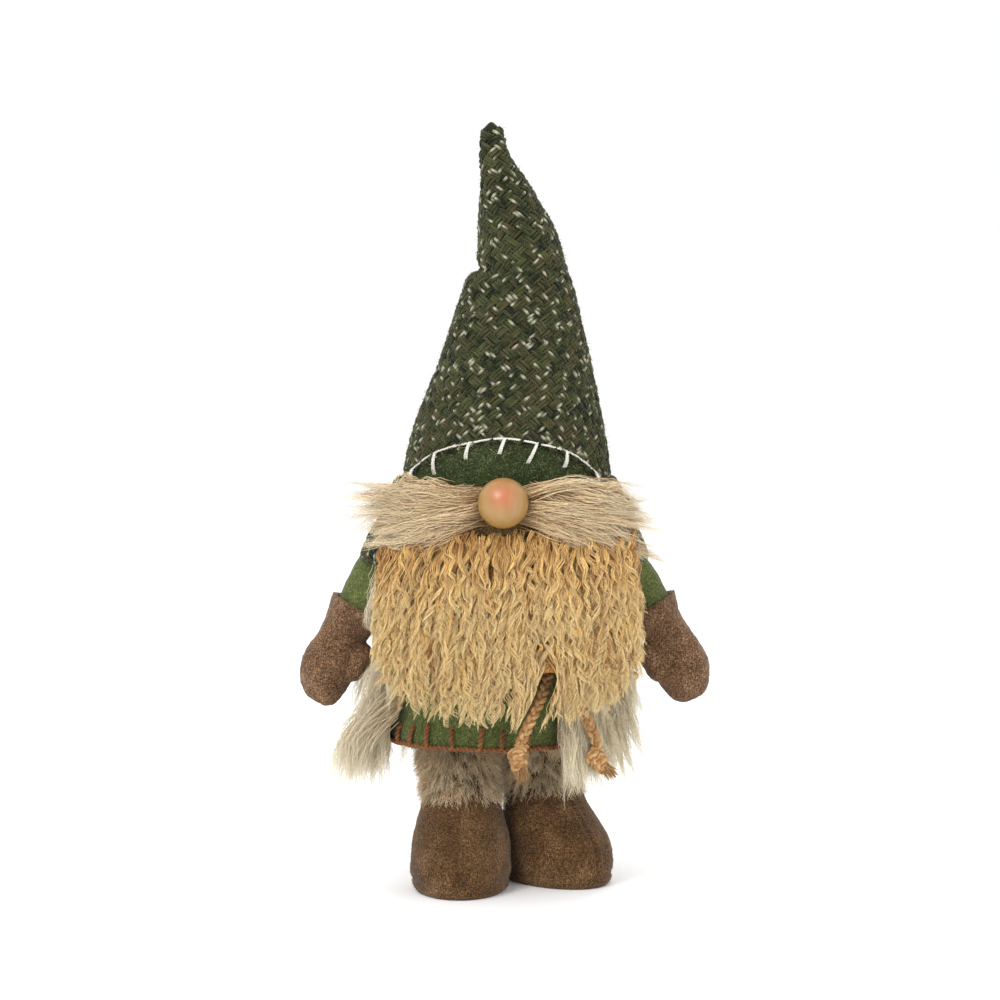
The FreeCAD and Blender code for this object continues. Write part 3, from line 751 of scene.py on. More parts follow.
def add_weave(name, profile, lift, cells, back, material, body, replaced):
    paths, tints = weave(profile, lift, cells, back)
    return add_tubes(name, paths, 1.12, tints, material, body, replaced, 5, 0.85)


def tweed_tints(tone, steps):
    """Dark green to olive by tone, some brown, and pale slubs part of the way along a few yarns."""
    count = len(tone)
    along = np.linspace(0, 1, steps)[None]
    shade = np.clip(tone[:, None] + 0.25 * np.sin(6.3 * rng.random((count, 1)) + 5 * along), 0, 1)
    green = mix(linear(28, 34, 19), linear(78, 82, 48), shade)
    brown = (per_strand(count, steps) > 0.8) * 0.5
    slub = np.exp(-(((along - rng.random((count, 1))) / 0.16) ** 2)) * (rng.random((count, 1)) < 0.24)
    return mix(mix(green, linear(84, 70, 48), brown), linear(206, 202, 176), 0.8 * slub)


def hat_back(x, y):
    """From flat cloth, with the cone's top at the origin, to the hat's angle and height."""
    angle = np.arctan2(x, -y) / CONE_SHARE
    z = CONE_TOP - np.hypot(x, y) * CONE_SLOPE
    centre_angle, centre_z = (values[:, 2:4].mean(axis=1) for values in (angle, z))
    keep = (np.abs(centre_angle) < math.pi) & (z.min(axis=1) > HAT_LOW - 1) & (z.max(axis=1) < 494)
    keep &= in_patch(centre_angle, centre_z) > 0.97
    return angle, z, keep


def hat(material, lining, yarn, fuzz_material, patch_cloth):
    """The tweed cone over its lining, with loose fibres and a bound edge."""
    reach = (CONE_TOP - HAT_LOW) / CONE_SLOPE

    def inside(x, y):
        far = math.hypot(x, y)
        return 8 < far < reach + WEAVE and abs(math.atan2(x, -y)) < math.pi * CONE_SHARE + 0.1

    cells = cloth_cells(int(reach / WEAVE * 1.5) + 2, inside)
    cloth = add_weave("hat_cloth", HAT, hat_lift, cells, hat_back, material, None, ("hat_cone", "hat_tip"))
    rows = np.concatenate([np.linspace(HAT_LOW, 470, 110), np.linspace(473, 497, 14)])
    columns = 96
    a, z = np.meshgrid(np.linspace(-math.pi, math.pi, columns, endpoint=False), rows)
    base = add_mesh(
        "hat_lining", HAT.raised(a, z, hat_lift(a, z) - 0.3), grid_quads(len(rows), columns), lining,
        None, ("hat_stuffing", "hat_tip_stuffing"),
    )
    count = 9000
    angle = (rng.random(count) - 0.5) * 2 * math.pi
    z = HAT_LOW + 245 * (1 - np.sqrt(rng.random(count)))
    roots = HAT.raised(angle, z, hat_lift(angle, z) + 0.7)
    heading = unit(HAT.normal(angle, z) * 0.5 + rng.normal(size=(count, 3)) * 0.9)
    fibres = grow_hair(roots, heading, 2 + 2.4 * rng.random(count), 0.1, 5)
    fuzz = add_tubes(
        "hat_fuzz", fibres, taper(count, 5, 0.09), tweed_tints(0.5 + 0.5 * rng.random(count), 5) * 1.2,
        fuzz_material, None,
    )
    for piece in (cloth, base, fuzz):
        low, high = to_metres([CREASE_LOW, CREASE_HIGH])
        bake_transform(piece)
    turn = np.linspace(0, 2 * math.pi, 500)
    level = HAT_LOW + 0.6 + 0 * turn
    edge_roll("hat_edge", HAT.raised(turn, level, hat_lift(turn, level) - 0.2), material)
    visor(yarn, patch_cloth, fuzz_material)


def front_point(x, z, out):
    """The point on the hat's front at this x and height, standing out from the cloth."""
    cx, rx, _ = HAT.at(z)
    angle = np.arcsin(np.clip((x - cx) / rx, -1, 1))
    return HAT.raised(angle, z, hat_lift(angle, z) + out)


def visor(yarn, cloth, fibre_material):
    """A plain felted patch low on the hat's front, held by white blanket stitch."""
    turn = np.linspace(0, math.pi, 90)
    share = np.linspace(0.02, 1.0, 30)
    u, s = np.meshgrid(turn, share)
    x = PATCH_WIDE * s * np.cos(u)
    z = PATCH_UP + PATCH_TALL * s * np.sin(u)
    soft = 0.35 * lumps(np.stack([x, 0 * x, z], axis=-1), 4.5, 2.0)
    points = front_point(x, z, 0.35 + soft - 1.6 * s**14)
    quads = grid_quads(len(share), len(turn), False)
    add_mesh("visor_felt", points, quads, cloth, "root", ("visor_patch",))
    tries = 4200
    x = PATCH_WIDE * (2 * rng.random(tries) - 1)
    z = PATCH_UP + PATCH_TALL * rng.random(tries)
    keep = (x / PATCH_WIDE) ** 2 + ((z - PATCH_UP) / PATCH_TALL) ** 2 < 0.97
    roots = front_point(x[keep], z[keep], 0.3)
    count, steps = len(roots), 5
    heading = unit(rng.normal(size=roots.shape) * (1, 0.45, 1) + (0, -0.25, 0))
    fibres = grow_hair(roots, heading, 2.2 + 2.4 * rng.random(count), 0.1, steps)
    fibres += rng.normal(size=fibres.shape) * 0.12
    tone = per_strand(count, steps)
    pale = per_strand(count, steps) < 0.12
    tints = mix(mix(linear(34, 48, 22), linear(96, 108, 62), tone), linear(188, 184, 152), 0.8 * pale)
    add_tubes("visor_fuzz", fibres, taper(count, steps, 0.13), tints, fibre_material, "root")
    visor_stitches(yarn)


def visor_stitches(yarn):
    """One yarn along the patch's edge, and a slanting leg inwards at each stitch."""
    turn = np.radians(np.linspace(24, 154, 150))
    x = (PATCH_WIDE + 0.5) * np.cos(turn)
    z = PATCH_UP + (PATCH_TALL + 0.5) * np.sin(turn) + 0.5 * np.sin(turn * 9)
    edge = front_point(x, z, 1.3 + 0.25 * np.sin(turn * 40))
    plies = twisted(resample(edge, 260), 0.75, 3.0)
    legs = []
    for degrees, long, lean in VISOR_LEGS:
        start = math.radians(degrees)
        share = np.linspace(0, 1, 14)
        leg_x = PATCH_WIDE * math.cos(start) + lean * long * share
        leg_z = PATCH_UP + PATCH_TALL * math.sin(start) + 0.6 - long * share
        rise = 1.3 + 1.1 * np.sin(share * math.pi) - 1.0 * share**8
        for across in (-0.4, 0.4):
            path = front_point(leg_x + across * (0.4 + share), leg_z, rise)
            legs += twisted(resample(path, 40), 0.85, 3.2)
    white = linear(244, 242, 232)
    shade = linear(206, 202, 186)
    for name, group, nodes in (("visor_edge_yarn", plies, ("visor_stitch",)), ("visor_leg_yarn", legs, ())):
        paths = np.array(group)
        tone = 0.3 * rng.random(paths.shape[:2])
        add_tubes(name, paths, 0.46, mix(white, shade, tone), yarn, "root", nodes, 6)


def edge_roll(name, path, material):
    """The cloth's edge turned in and bound with a twist of its own yarn."""
    tints = np.repeat(tweed_tints(rng.random(len(path)), 1)[:, 0][None], 2, axis=0)
    plies = np.stack(twisted(path, 1.5, 6))
    add_tubes(name, plies, 1.05, tints, material, "root", (), 6)


# ---------------------------------------------------------------- collar, tunic, vest

COLLAR_LOW = 214
COLLAR_HIGH = 266
COLLAR_OPEN = 0.58
COLLAR = Profile([
    (COLLAR_LOW, 0, 90, 73), (228, 0.5, 86.5, 71), (242, 1, 80.5, 68), (256, 1.5, 75, 65.5),
    (COLLAR_HIGH, 2, 70.5, 63),
])
TUNIC_LOW = 96.5
TUNIC = Profile([
    (TUNIC_LOW, -7, 68.5, 57.5), (110, -6, 68.5, 57.5), (150, -3, 70.5, 58.5), (200, 0, 75, 62),
    (228, 0, 72, 59.5), (250, 1, 64.5, 56.5),
])


def collar(material, lining):
    """The same weave, round the shoulders and open at the front."""
    ends = (COLLAR_OPEN, 2 * math.pi - COLLAR_OPEN)

    def inside(x, y):
        return 0 <= y <= COLLAR_HIGH - COLLAR_LOW + 4 and abs(x) < 215

    def back(x, y):
        angle = x / 82 + math.pi
        z = y + COLLAR_LOW
        middle_angle = angle[:, 2:4].mean(axis=1)
        keep = (middle_angle > ends[0]) & (middle_angle < ends[1])
        keep &= (z.min(axis=1) > COLLAR_LOW - 1) & (z.max(axis=1) < COLLAR_HIGH)
        return angle, np.clip(z, COLLAR_LOW, COLLAR_HIGH), keep

    def lift(angle, z):
        droop = np.clip((236 - z) / 20, 0, 1) * np.exp(-(((np.abs(np.sin(angle)) - 1) / 0.12) ** 2))
        return 0.8 * np.sin(5 * angle) * np.clip((250 - z) / 30, 0, 1) + 3.0 * droop

    add_weave("collar_cloth", COLLAR, lift, cloth_cells(60, inside), back, material, "root", ("collar",))
    rows, columns = 20, 120
    a, z = np.meshgrid(np.linspace(*ends, columns), np.linspace(COLLAR_LOW, COLLAR_HIGH, rows))
    under = COLLAR.raised(a, z, lift(a, z) - 0.6)
    add_mesh("collar_lining", under, grid_quads(rows, columns, closed=False), lining, "root")
    turn = np.linspace(*ends, 420)
    for label, up in (("low", COLLAR_LOW + 0.4), ("high", COLLAR_HIGH - 0.6)):
        level = up + 0 * turn
        edge_roll(f"collar_edge_{label}", COLLAR.raised(turn, level, lift(turn, level) - 0.2), material)


def hem_wave(angle, z=0.0):
    """How far the cloth ripples in and out: most at the tunic's hem, and less higher up."""
    ripple = 0.9 * np.sin(7 * angle + 0.6) + 0.6 * np.sin(11 * angle + 2)
    return ripple * np.clip((140 - z) / 44, 0, 1)


def tunic(material, yarn):
    """The felt shell: rippled at its hem, turned in below, and stitched along the edge."""
    angle = np.linspace(0, 2 * math.pi, 240, endpoint=False)
    a, z = np.meshgrid(angle, np.linspace(TUNIC_LOW, 130, 8)[::-1])
    inner = TUNIC.point(a, z, hem_wave(a, z) - 2.2)
    a, z = np.meshgrid(angle, np.linspace(TUNIC_LOW, 249.5, 60))
    out = TUNIC.point(a, z, hem_wave(a, z))
    soft = 0.5 * lumps(out, 18) * (1 - 0.5 * np.clip((140 - z) / 44, 0, 1))
    out += TUNIC.normal(a, z) * soft[..., None]
    shell = np.concatenate([inner, out])
    quads = grid_quads(len(shell), len(angle))
    add_mesh("tunic_cloth", shell, quads, material, "root", ("tunic",))
    hem_stitches(yarn)


def hem_stitches(yarn):
    """Rust-coloured blanket stitch: a yarn along the edge and an upright leg at each step."""
    count = 26
    ring = np.linspace(0, 2 * math.pi, 700)
    dip = 0.9 * np.abs(np.sin(ring * count / 2))
    edge = TUNIC.point(ring, TUNIC_LOW + 0.7 - dip * 0.8, 1.1 + hem_wave(ring))
    plies = twisted(edge, 1.7, 6.0)
    legs = []
    for index in range(count):
        start = 2 * math.pi * (index + 0.5 + 0.12 * rng.normal()) / count
        rise = np.linspace(0, 1, 16)
        lean = 0.02 * rng.normal()
        angle = start + lean * rise
        z = TUNIC_LOW + 0.1 + (13.5 + rng.normal()) * rise
        swell = 1.5 + 0.9 * np.sin(rise * math.pi) + hem_wave(angle) - 1.6 * rise**6
        legs += twisted(resample(TUNIC.point(angle, z, swell), 36), 1.6, 6.0)
    dark, light = linear(104, 64, 34), linear(166, 112, 66)
    for name, group, nodes in (("hem_edge_yarn", plies, ("tunic_hem_stitch",)), ("hem_leg_yarn", legs, ())):
        paths = np.array(group)
        tone = rng.random((len(paths), 1)) * 0.6 + 0.3 * rng.random(paths.shape[:2])
        add_tubes(name, paths, 0.95, mix(dark, light, tone), yarn, "root", nodes, 6)


VEST_GROW = 5.0
VEST_LOW = 119.0
VEST_HIGH = 226.0
# No strand of the vest hangs below FUR_LOWEST, and past FUR_REAR the fur is flattened at the back.
FUR_LOWEST = 58
FUR_REAR = 72


def vest_angle_limits(z):
    """Where the open front ends on each side, as angles from the front."""
    cx, rx, _ = TUNIC.at(z)
    right = np.arcsin(np.clip((-68 - cx) / (rx + VEST_GROW), -1, 1))
    left = np.arcsin(np.clip((38 - cx) / (rx + VEST_GROW), -1, 1))
    return left, 2 * math.pi + right


def vest(material, hide):
    """The hide under the fur, and the long fur in clumps, thicker along the hem and over the back."""
    rows, columns = 36, 110
    z_rows = np.linspace(VEST_LOW, VEST_HIGH, rows)
    low, high = vest_angle_limits(z_rows)
    a = low[:, None] + (high - low)[:, None] * np.linspace(0, 1, columns)[None]
    z = z_rows[:, None] + 0 * a
    skin = leave_arm_room(TUNIC.point(a, z, VEST_GROW))
    inner = leave_arm_room(TUNIC.point(a, z, 1.0))
    add_mesh(
        "vest_skin", np.concatenate([skin, inner]), two_sided(rows, columns), hide,
        "root", ("fur_vest",),
    )
    guides, per, steps = 700, 20, 10
    at_hem, at_back = 190, 160
    hem, back = slice(0, at_hem), slice(at_hem, at_hem + at_back)
    z0 = VEST_LOW + (VEST_HIGH - VEST_LOW) * rng.random(guides) ** 1.5
    z0[hem] = VEST_LOW + 9 * rng.random(at_hem)
    z0[back] = 150 + 58 * rng.random(at_back)
    low, high = vest_angle_limits(z0)
    share = rng.random(guides)
    share[::5] = 0.05 * rng.random(len(share[::5]))
    share[1::5] = 1 - 0.05 * rng.random(len(share[1::5]))
    share[back] = 0.14 + 0.72 * rng.random(at_back)
    angle = low + (high - low) * share
    roots = leave_arm_room(TUNIC.point(angle, z0, VEST_GROW - 0.5))
    out = TUNIC.normal(angle, z0) * (0.34 + 0.2 * rng.random((guides, 1)))
    heading = unit(out + DOWN * 0.85 + rng.normal(size=(guides, 3)) * 0.18)
    length = 40 + 24 * rng.random(guides)
    paths = grow_hair(roots, heading, length, 0.45 + 0.35 * rng.random(guides), steps)
    t = np.linspace(0, 1, steps)[None]
    paths[..., 0] += 2.2 * np.sin(6.3 * rng.random((guides, 1)) + 4 * t) * t
    flare = np.clip((-paths[:, :1, 0] - 40) / 25, 0, 1) * np.clip((-paths[:, :1, 1] - 22) / 8, 0, 1)
    paths[..., 0] -= 24 * flare * np.sin(2.1 * t) * np.clip((158 - z0) / 20, 0, 1)[:, None]
    paths = clump(paths, per, (2.6, 2.6, 4.0), 0.8, 1.4, 0.3)
    paths = pull_in(TUNIC.push_out(paths, VEST_GROW))
    for name in ("short", "long"):
        press_behind(paths, BELT_LINES[name], 5.0, 158)
    paths[..., 2] = np.maximum(paths[..., 2], FUR_LOWEST)
    beyond = paths[..., 1] - FUR_REAR
    paths[..., 1] = np.where(beyond > 0, FUR_REAR + beyond * 0.35, paths[..., 1])
    count = len(paths)
    tone = 0.7 * np.repeat(rng.random(guides), per)[:, None] + 0.3 * per_strand(count, steps)
    base = mix(linear(170, 134, 90), linear(228, 204, 160), tone)
    tints = mix(base, linear(252, 242, 212), root_to_tip(count, steps) ** 0.65)
    add_hair("vest_fur", paths, taper(count, steps, 0.25, 0.15), tints, material, "root", (), 5)


def pull_in(points):
    """The belt presses the vest's fur against the body."""
    press = 0.9 * np.exp(-(((points[..., 2] - BELT_UP) / 10) ** 2))
    return TUNIC.resize(
        points, VEST_GROW,
        lambda share: np.where(share > 1, 1 - press * (1 - 1 / np.maximum(share, 1)), 1.0),
    )


def leave_arm_room(points):
    """Press the fur in where the sleeves hang against it."""
    out = points.copy()
    for sign in (-1, 1):
        reach = sign * out[..., 0]
        near = np.exp(-((out[..., 1] / 26) ** 2)) * np.clip((out[..., 2] - 165) / 20, 0, 1)
        limit = 74 - 10 * np.clip((out[..., 2] - 180) / 20, 0, 1)
        pressed = np.where((reach > limit) & (near > 0.3), limit + (reach - limit) * (1 - near), reach)
        out[..., 0] = sign * pressed
    return out


# ---------------------------------------------------------------- face

def nose(material):
    bpy.ops.mesh.primitive_uv_sphere_add(
        segments=96, ring_count=48, radius=float(NOSE_RADIUS), location=NOSE_CENTRE
    )
    bead = bpy.context.object
    bead.name = "nose_wood"
    bead.rotation_euler = (math.pi / 2, 0, 0)
    bpy.ops.object.transform_apply(location=True, rotation=True, scale=True)
    for polygon in bead.data.polygons:
        polygon.use_smooth = True
    finish_piece(bead, material, "root", ("nose_bead",))


def moustache(material):
    """Two wings of long straight fur: narrow beside the nose, wide and wispy at the cheeks."""
    guides, per, steps = 125, 34, 12
    t = np.linspace(0, 1, steps)[None]
    for side, sign, wing in (("right", -1, 77), ("left", 1, 83)):
        share = rng.random(guides) ** 1.1
        x0 = 8 + 50 * share
        level = 2 * rng.random(guides) - 1
        z0 = 253 + level * (7 + 7 * share)
        slope = np.where(level > 0, 0.13 - 0.04 * sign, 0.32) * level - 0.01
        slope += 0.08 * rng.normal(size=guides)
        run = wing + 10 * rng.normal(size=guides) - 8 * np.abs(level) - x0
        run += 30 * rng.random(guides) * (rng.random(guides) < 0.22)
        run = np.clip(run, 20, 116 - x0)
        bow = 5 * rng.normal(size=guides)[:, None]
        x = x0[:, None] + run[:, None] * t
        z = z0[:, None] + (slope * run)[:, None] * t + bow * np.sin(math.pi * t) - (5 + 3 * sign) * t**2
        layer = rng.random(guides)[:, None]
        depth = 66 + (13 + 9 * layer) * np.clip(t * 3.5, 0, 1)
        y = -depth * np.sqrt(np.clip(1 - (x / 132) ** 2, 0.05, 1))
        y += 2 * np.sin(6.3 * rng.random((guides, 1)) + 4 * t)
        paths = clump(np.stack([sign * x, y, z], axis=-1), per, (2.6, 1.9, 2.9), 0.86, 1.3, 0.35)
        keep_clear_of_nose(paths)
        count = len(paths)
        # Painted shade by depth: locks in the outer layers are lighter, with brighter tips, and the inner
        # ones darker, on top of a random tone.
        own = np.repeat(0.7 * layer, per, axis=0) + 0.3 * per_strand(count, steps)
        base = mix(linear(168, 120, 78), linear(238, 206, 154), own)
        tints = mix(base, linear(255, 242, 208), root_to_tip(count, steps) ** 0.9 * (0.3 + 0.7 * own))
        add_hair(
            f"moustache_hair_{side}", paths, taper(count, steps, 0.23, 0.15), tints, material,
            "root", (f"moustache_{side}",), 2,
        )


def keep_clear_of_nose(paths):
    """Strands that would pass through the bead go round it, in place."""
    room = 16.3
    centre = from_metres(NOSE_CENTRE)
    away = paths - centre
    distance = np.linalg.norm(away, axis=-1, keepdims=True)
    paths[...] = np.where(distance < room, centre + away / np.maximum(distance, 1e-6) * room, paths)


BEARD_TOP = 236.0
BEARD_LOW = 152.0
BEARD_MIDDLE = 3.0
BEARD_HALF = 80.0
BEARD_REACH = 90.0
BEARD_FRONT = -101.0


def beard_bottom(x):
    """How low the locks reach at each x: a round lower outline."""
    share = np.abs(x - BEARD_MIDDLE) / BEARD_REACH
    return 111 + 18 * share**2 + 34 * share**6


def beard_front(x, z, out=0.0):
    """y of the beard's front: a shallow curve across, and fuller half way down."""
    across = np.sqrt(np.clip(1 - ((x - BEARD_MIDDLE) / 127) ** 2, 0, 1))
    full = 3.0 * np.sin(np.clip((BEARD_TOP - z) / 110, 0, 1) * math.pi)
    return -(84 + full + out) * across


def beard(material, hide):
    """The hide behind, and curly locks that hang in layers to a round lower edge."""
    rows, columns = np.linspace(150, 232, 20), np.linspace(-1, 1, 50)
    narrower = 1 - 0.12 * ((rows[-1] - rows) / (rows[-1] - rows[0]))[:, None] ** 2
    x = BEARD_MIDDLE + BEARD_HALF * columns[None] * narrower
    z = rows[:, None] + 0 * x
    faces = [np.stack([x, beard_front(x, z, out), z], axis=-1) for out in (-3.4, -8)]
    add_mesh(
        "beard_hide", np.concatenate(faces), two_sided(len(rows), len(columns)), hide,
        "beard", ("beard_skin", "beard_pile"),
    )
    guides, per, steps = 760, 11, 26
    t = np.linspace(0, 1, steps)[None]
    x0 = BEARD_MIDDLE + BEARD_HALF * (2 * rng.random(guides) - 1)
    z0 = BEARD_LOW + (BEARD_TOP - BEARD_LOW) * rng.random(guides)
    at_top = 190
    z0[:at_top] = BEARD_TOP + 3 - 6 * rng.random(at_top)
    high = np.clip((z0 - BEARD_LOW) / (BEARD_TOP - BEARD_LOW), 0, 1)
    splay = 0.34 * (x0 - BEARD_MIDDLE) / BEARD_REACH * high + 0.17 * rng.normal(size=guides)
    length = 40 + 34 * rng.random(guides)
    for _ in range(3):
        end = np.clip(x0 + splay * length, BEARD_MIDDLE - 84, BEARD_MIDDLE + 84)
        room = z0 - beard_bottom(end) + 5 * rng.normal(size=guides)
        length = np.clip(np.minimum(length, room), 18, 80)
        splay = (end - x0) / length
    lift = 0.5 + 9 * high * rng.random(guides)
    z = z0[:, None] - length[:, None] * t
    xs = x0[:, None] + (splay * length)[:, None] * t
    # The locks part a little at the middle.
    side = np.where(x0 > 1, 1.0, -1.0)[:, None]
    xs += 2 * side * np.exp(-np.abs(x0 - 1) / 10)[:, None] * np.sin(t * math.pi / 2) * high[:, None]
    # Each lock winds as it hangs.
    wave = (12 + 6 * rng.random(guides))[:, None]
    drift = 1.6 * np.sin(6.3 * rng.random((guides, 1)) + 5 * t)
    phase = 6.3 * rng.random((guides, 1)) + 2 * math.pi * length[:, None] * t / wave + drift
    amount = (1.5 + 1.2 * rng.random(guides))[:, None] * (0.65 + 0.35 * t)
    skew = 6.3 * rng.random((guides, 1))
    tuck = np.clip(1 - 4 * t, 0, 1) * 10 * np.clip((z0[:, None] - 214) / 14, 0, 1)
    ys = beard_front(xs, z, lift[:, None] - 2 - tuck) + 0.8 * amount * np.sin(phase + skew)
    xs += amount * np.cos(phase) + 3.0 * np.sin(6.3 * rng.random((guides, 1)) + 3 * t) * t
    z += 0.4 * amount * np.sin(phase + 1.2)
    strands = clump(np.stack([xs, ys, z], axis=-1), per, (0.85, 0.7, 0.7), 0.82, 0.15, 0.14)
    part_round(strands, BELT_LINES["long"], 5.8, 172)
    strands[..., 1] = np.maximum(strands[..., 1], BEARD_FRONT)
    count = len(strands)
    tone = np.repeat(rng.random(guides), per)[:, None] * np.ones((1, steps))
    # Painted highlight and shade along each lock's wave: lighter where the lock bulges forward, darker where
    # it falls back.
    crest_highlight_and_shade = np.repeat(0.16 * np.sin(phase + skew), per, axis=0)
    own = 0.2 * rng.random((count, 1)) + 0.75 * tone - crest_highlight_and_shade
    # Painted shade: locks that lie close to the hide are darker, as in the shadow between locks.
    deep = np.repeat(np.clip(1 - lift / 5, 0, 1), per)[:, None]
    base = mix(linear(168, 108, 42), linear(252, 210, 130), np.clip(own - 0.45 * deep, 0, 1))
    tints = mix(base, linear(255, 232, 172), 0.8 * root_to_tip(count, steps) ** 1.5)
    add_hair(
        "beard_locks", strands, taper(count, steps, 0.29, 0.35), tints, material, "beard",
        (), 7,
    )


# ---------------------------------------------------------------- arms

def soft_copy(name, nodes, voxel, material, body, fine, broad):
    """One soft body from CAD nodes: joined, remeshed, smoothed and gently lumped.

    Gives back its points and their normals.
    """
    parts = []
    for node_name in nodes:
        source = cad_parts[node_name]
        copy = bpy.data.objects.new(name, source.data.copy())
        bpy.context.scene.collection.objects.link(copy)
        parts.append(copy)
    bpy.ops.object.select_all(action="DESELECT")
    for part in parts:
        part.select_set(True)
    bpy.context.view_layer.objects.active = parts[0]
    if len(parts) > 1:
        bpy.ops.object.join()
    obj = parts[0]
    obj.name = name
    remesh = obj.modifiers.new("remesh", "REMESH")
    remesh.mode = "VOXEL"
    remesh.voxel_size = voxel * MM
    relax = obj.modifiers.new("relax", "SMOOTH")
    relax.iterations = 14
    relax.factor = 0.5
    graph = bpy.context.evaluated_depsgraph_get()
    mesh = bpy.data.meshes.new_from_object(obj.evaluated_get(graph))
    obj.modifiers.clear()
    obj.data = mesh
    points, normals = np.empty((2, len(mesh.vertices), 3))
    mesh.vertices.foreach_get("co", points.ravel())
    mesh.vertices.foreach_get("normal", normals.ravel())
    push = broad * lumps(points / MM, 14, 3.7) + fine * lumps(points / MM, 3.2, 9.1)
    points = points + normals * (push * MM)[:, None]
    mesh.vertices.foreach_set("co", points.ravel())
    mesh.update()
    mesh.polygons.foreach_set("use_smooth", np.full(len(mesh.polygons), True))
    finish_piece(obj, material, body, nodes)
    return from_metres(points), normals


def nap(name, points, normals, count, length, tints, material, body):
    """Loose fibres over a brown felt surface."""
    steps = 4
    pick = rng.integers(0, len(points), count)
    heading = unit(normals[pick] * 0.6 + rng.normal(size=(count, 3)) * 0.8)
    paths = grow_hair(points[pick], heading, length * (0.6 + 0.8 * rng.random(count)), 0.15, steps)
    own = mix(*tints, per_strand(count, steps))
    add_tubes(name, paths, taper(count, steps, 0.07), own, material, body)


def arms(brown, green, fuzz):
    """Felt sleeves and mittens over the arms' own shapes."""
    tints = (linear(110, 84, 62), linear(170, 144, 116))
    for side in ("right", "left"):
        body = f"{side}_arm"
        sleeve = (f"sleeve_{side}", f"arm_stuffing_{side}")
        mitten = (f"mitten_{side}", f"mitten_stuffing_{side}")
        soft_copy(f"sleeve_cloth_{side}", sleeve, 1.1, green, body, 0.15, 0.9)
        points, normals = soft_copy(
            f"mitten_felt_{side}", mitten, 1.0, brown, body, 0.22, 0.7
        )
        nap(f"mitten_nap_{side}", points, normals, 2600, 1.5, tints, fuzz, body)


# ---------------------------------------------------------------- legs and boots

# Each leg's middle, as (x, y), at the ankle and at the top.
LEGS = {"right": ((-27, -8), (-32, 0)), "left": ((26, 18), (16, 0))}


def trousers(material, hide):
    """Short patchy fur over a plain tube for each leg."""
    guides, per, steps = 1150, 9, 6
    rows, columns = 16, 64
    for side, (ankle, top) in LEGS.items():
        z_low, z_high = (corner[2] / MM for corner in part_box(f"trouser_leg_{side}"))

        def spot(angle, z, radius):
            share = (z - z_low) / (z_high - z_low)
            cx, cy = (foot + (head - foot) * share for foot, head in zip(ankle, top))
            x, y = cx + radius * np.sin(angle), cy - radius * np.cos(angle)
            return np.stack([x, y, z + 0 * angle], axis=-1)

        angle = np.linspace(0, 2 * math.pi, columns, endpoint=False)
        a, z = np.meshgrid(angle, np.linspace(z_low - 2, z_high, rows))
        add_mesh(
            f"trouser_hide_{side}", spot(a, z, 21.6), grid_quads(rows, columns), hide, "root",
            (f"trouser_leg_{side}",),
        )
        angle = rng.random(guides) * 2 * math.pi
        z = z_low - 2 + (z_high - z_low + 2) * rng.random(guides)
        at_foot = 150
        z[:at_foot] = z_low - 4 + 4 * rng.random(at_foot)
        roots = spot(angle, z, 21.5)
        out = unit(spot(angle, z, 22.0) - spot(angle, z, 21.0))
        heading = unit(out * 0.85 + DOWN * 0.35 + rng.normal(size=(guides, 3)) * 0.3)
        paths = grow_hair(roots, heading, 7 + 5 * rng.random(guides), 0.45, steps)
        paths = clump(paths, per, (1.3, 1.3, 1.4), 0.25, 0.7, 0.35)
        count = len(paths)
        patch = np.clip(0.5 + 0.9 * lumps(np.repeat(roots, per, axis=0), 13, 5.0), 0, 1)[:, None]
        base = mix(linear(132, 98, 58), linear(210, 170, 118), patch * np.ones((1, steps)))
        tints = mix(base, linear(255, 238, 202), 0.8 * root_to_tip(count, steps) ** 1.3)
        add_hair(
            f"trouser_fur_{side}", paths, taper(count, steps, 0.2), tints, material, "root",
            (), 2,
        )


# A boot's levels, as (height, how far the sole runs forward of the ankle, half width, half length).
BOOT = [
    (0, 14, 29.0, 41.5), (2.2, 14, 31.0, 43.8), (5, 14, 31.6, 44.6), (6.6, 14, 31.2, 44.2), (9, 14, 32.2, 45),
    (20, 13.4, 32.6, 45), (31, 11.5, 31.8, 41.5), (41, 7.5, 29.5, 35.5), (50, 3.8, 27, 29.5),
    (57, 1.2, 25.4, 26), (62, 0, 24.2, 24.6), (64.5, 0, 21.5, 22),
]


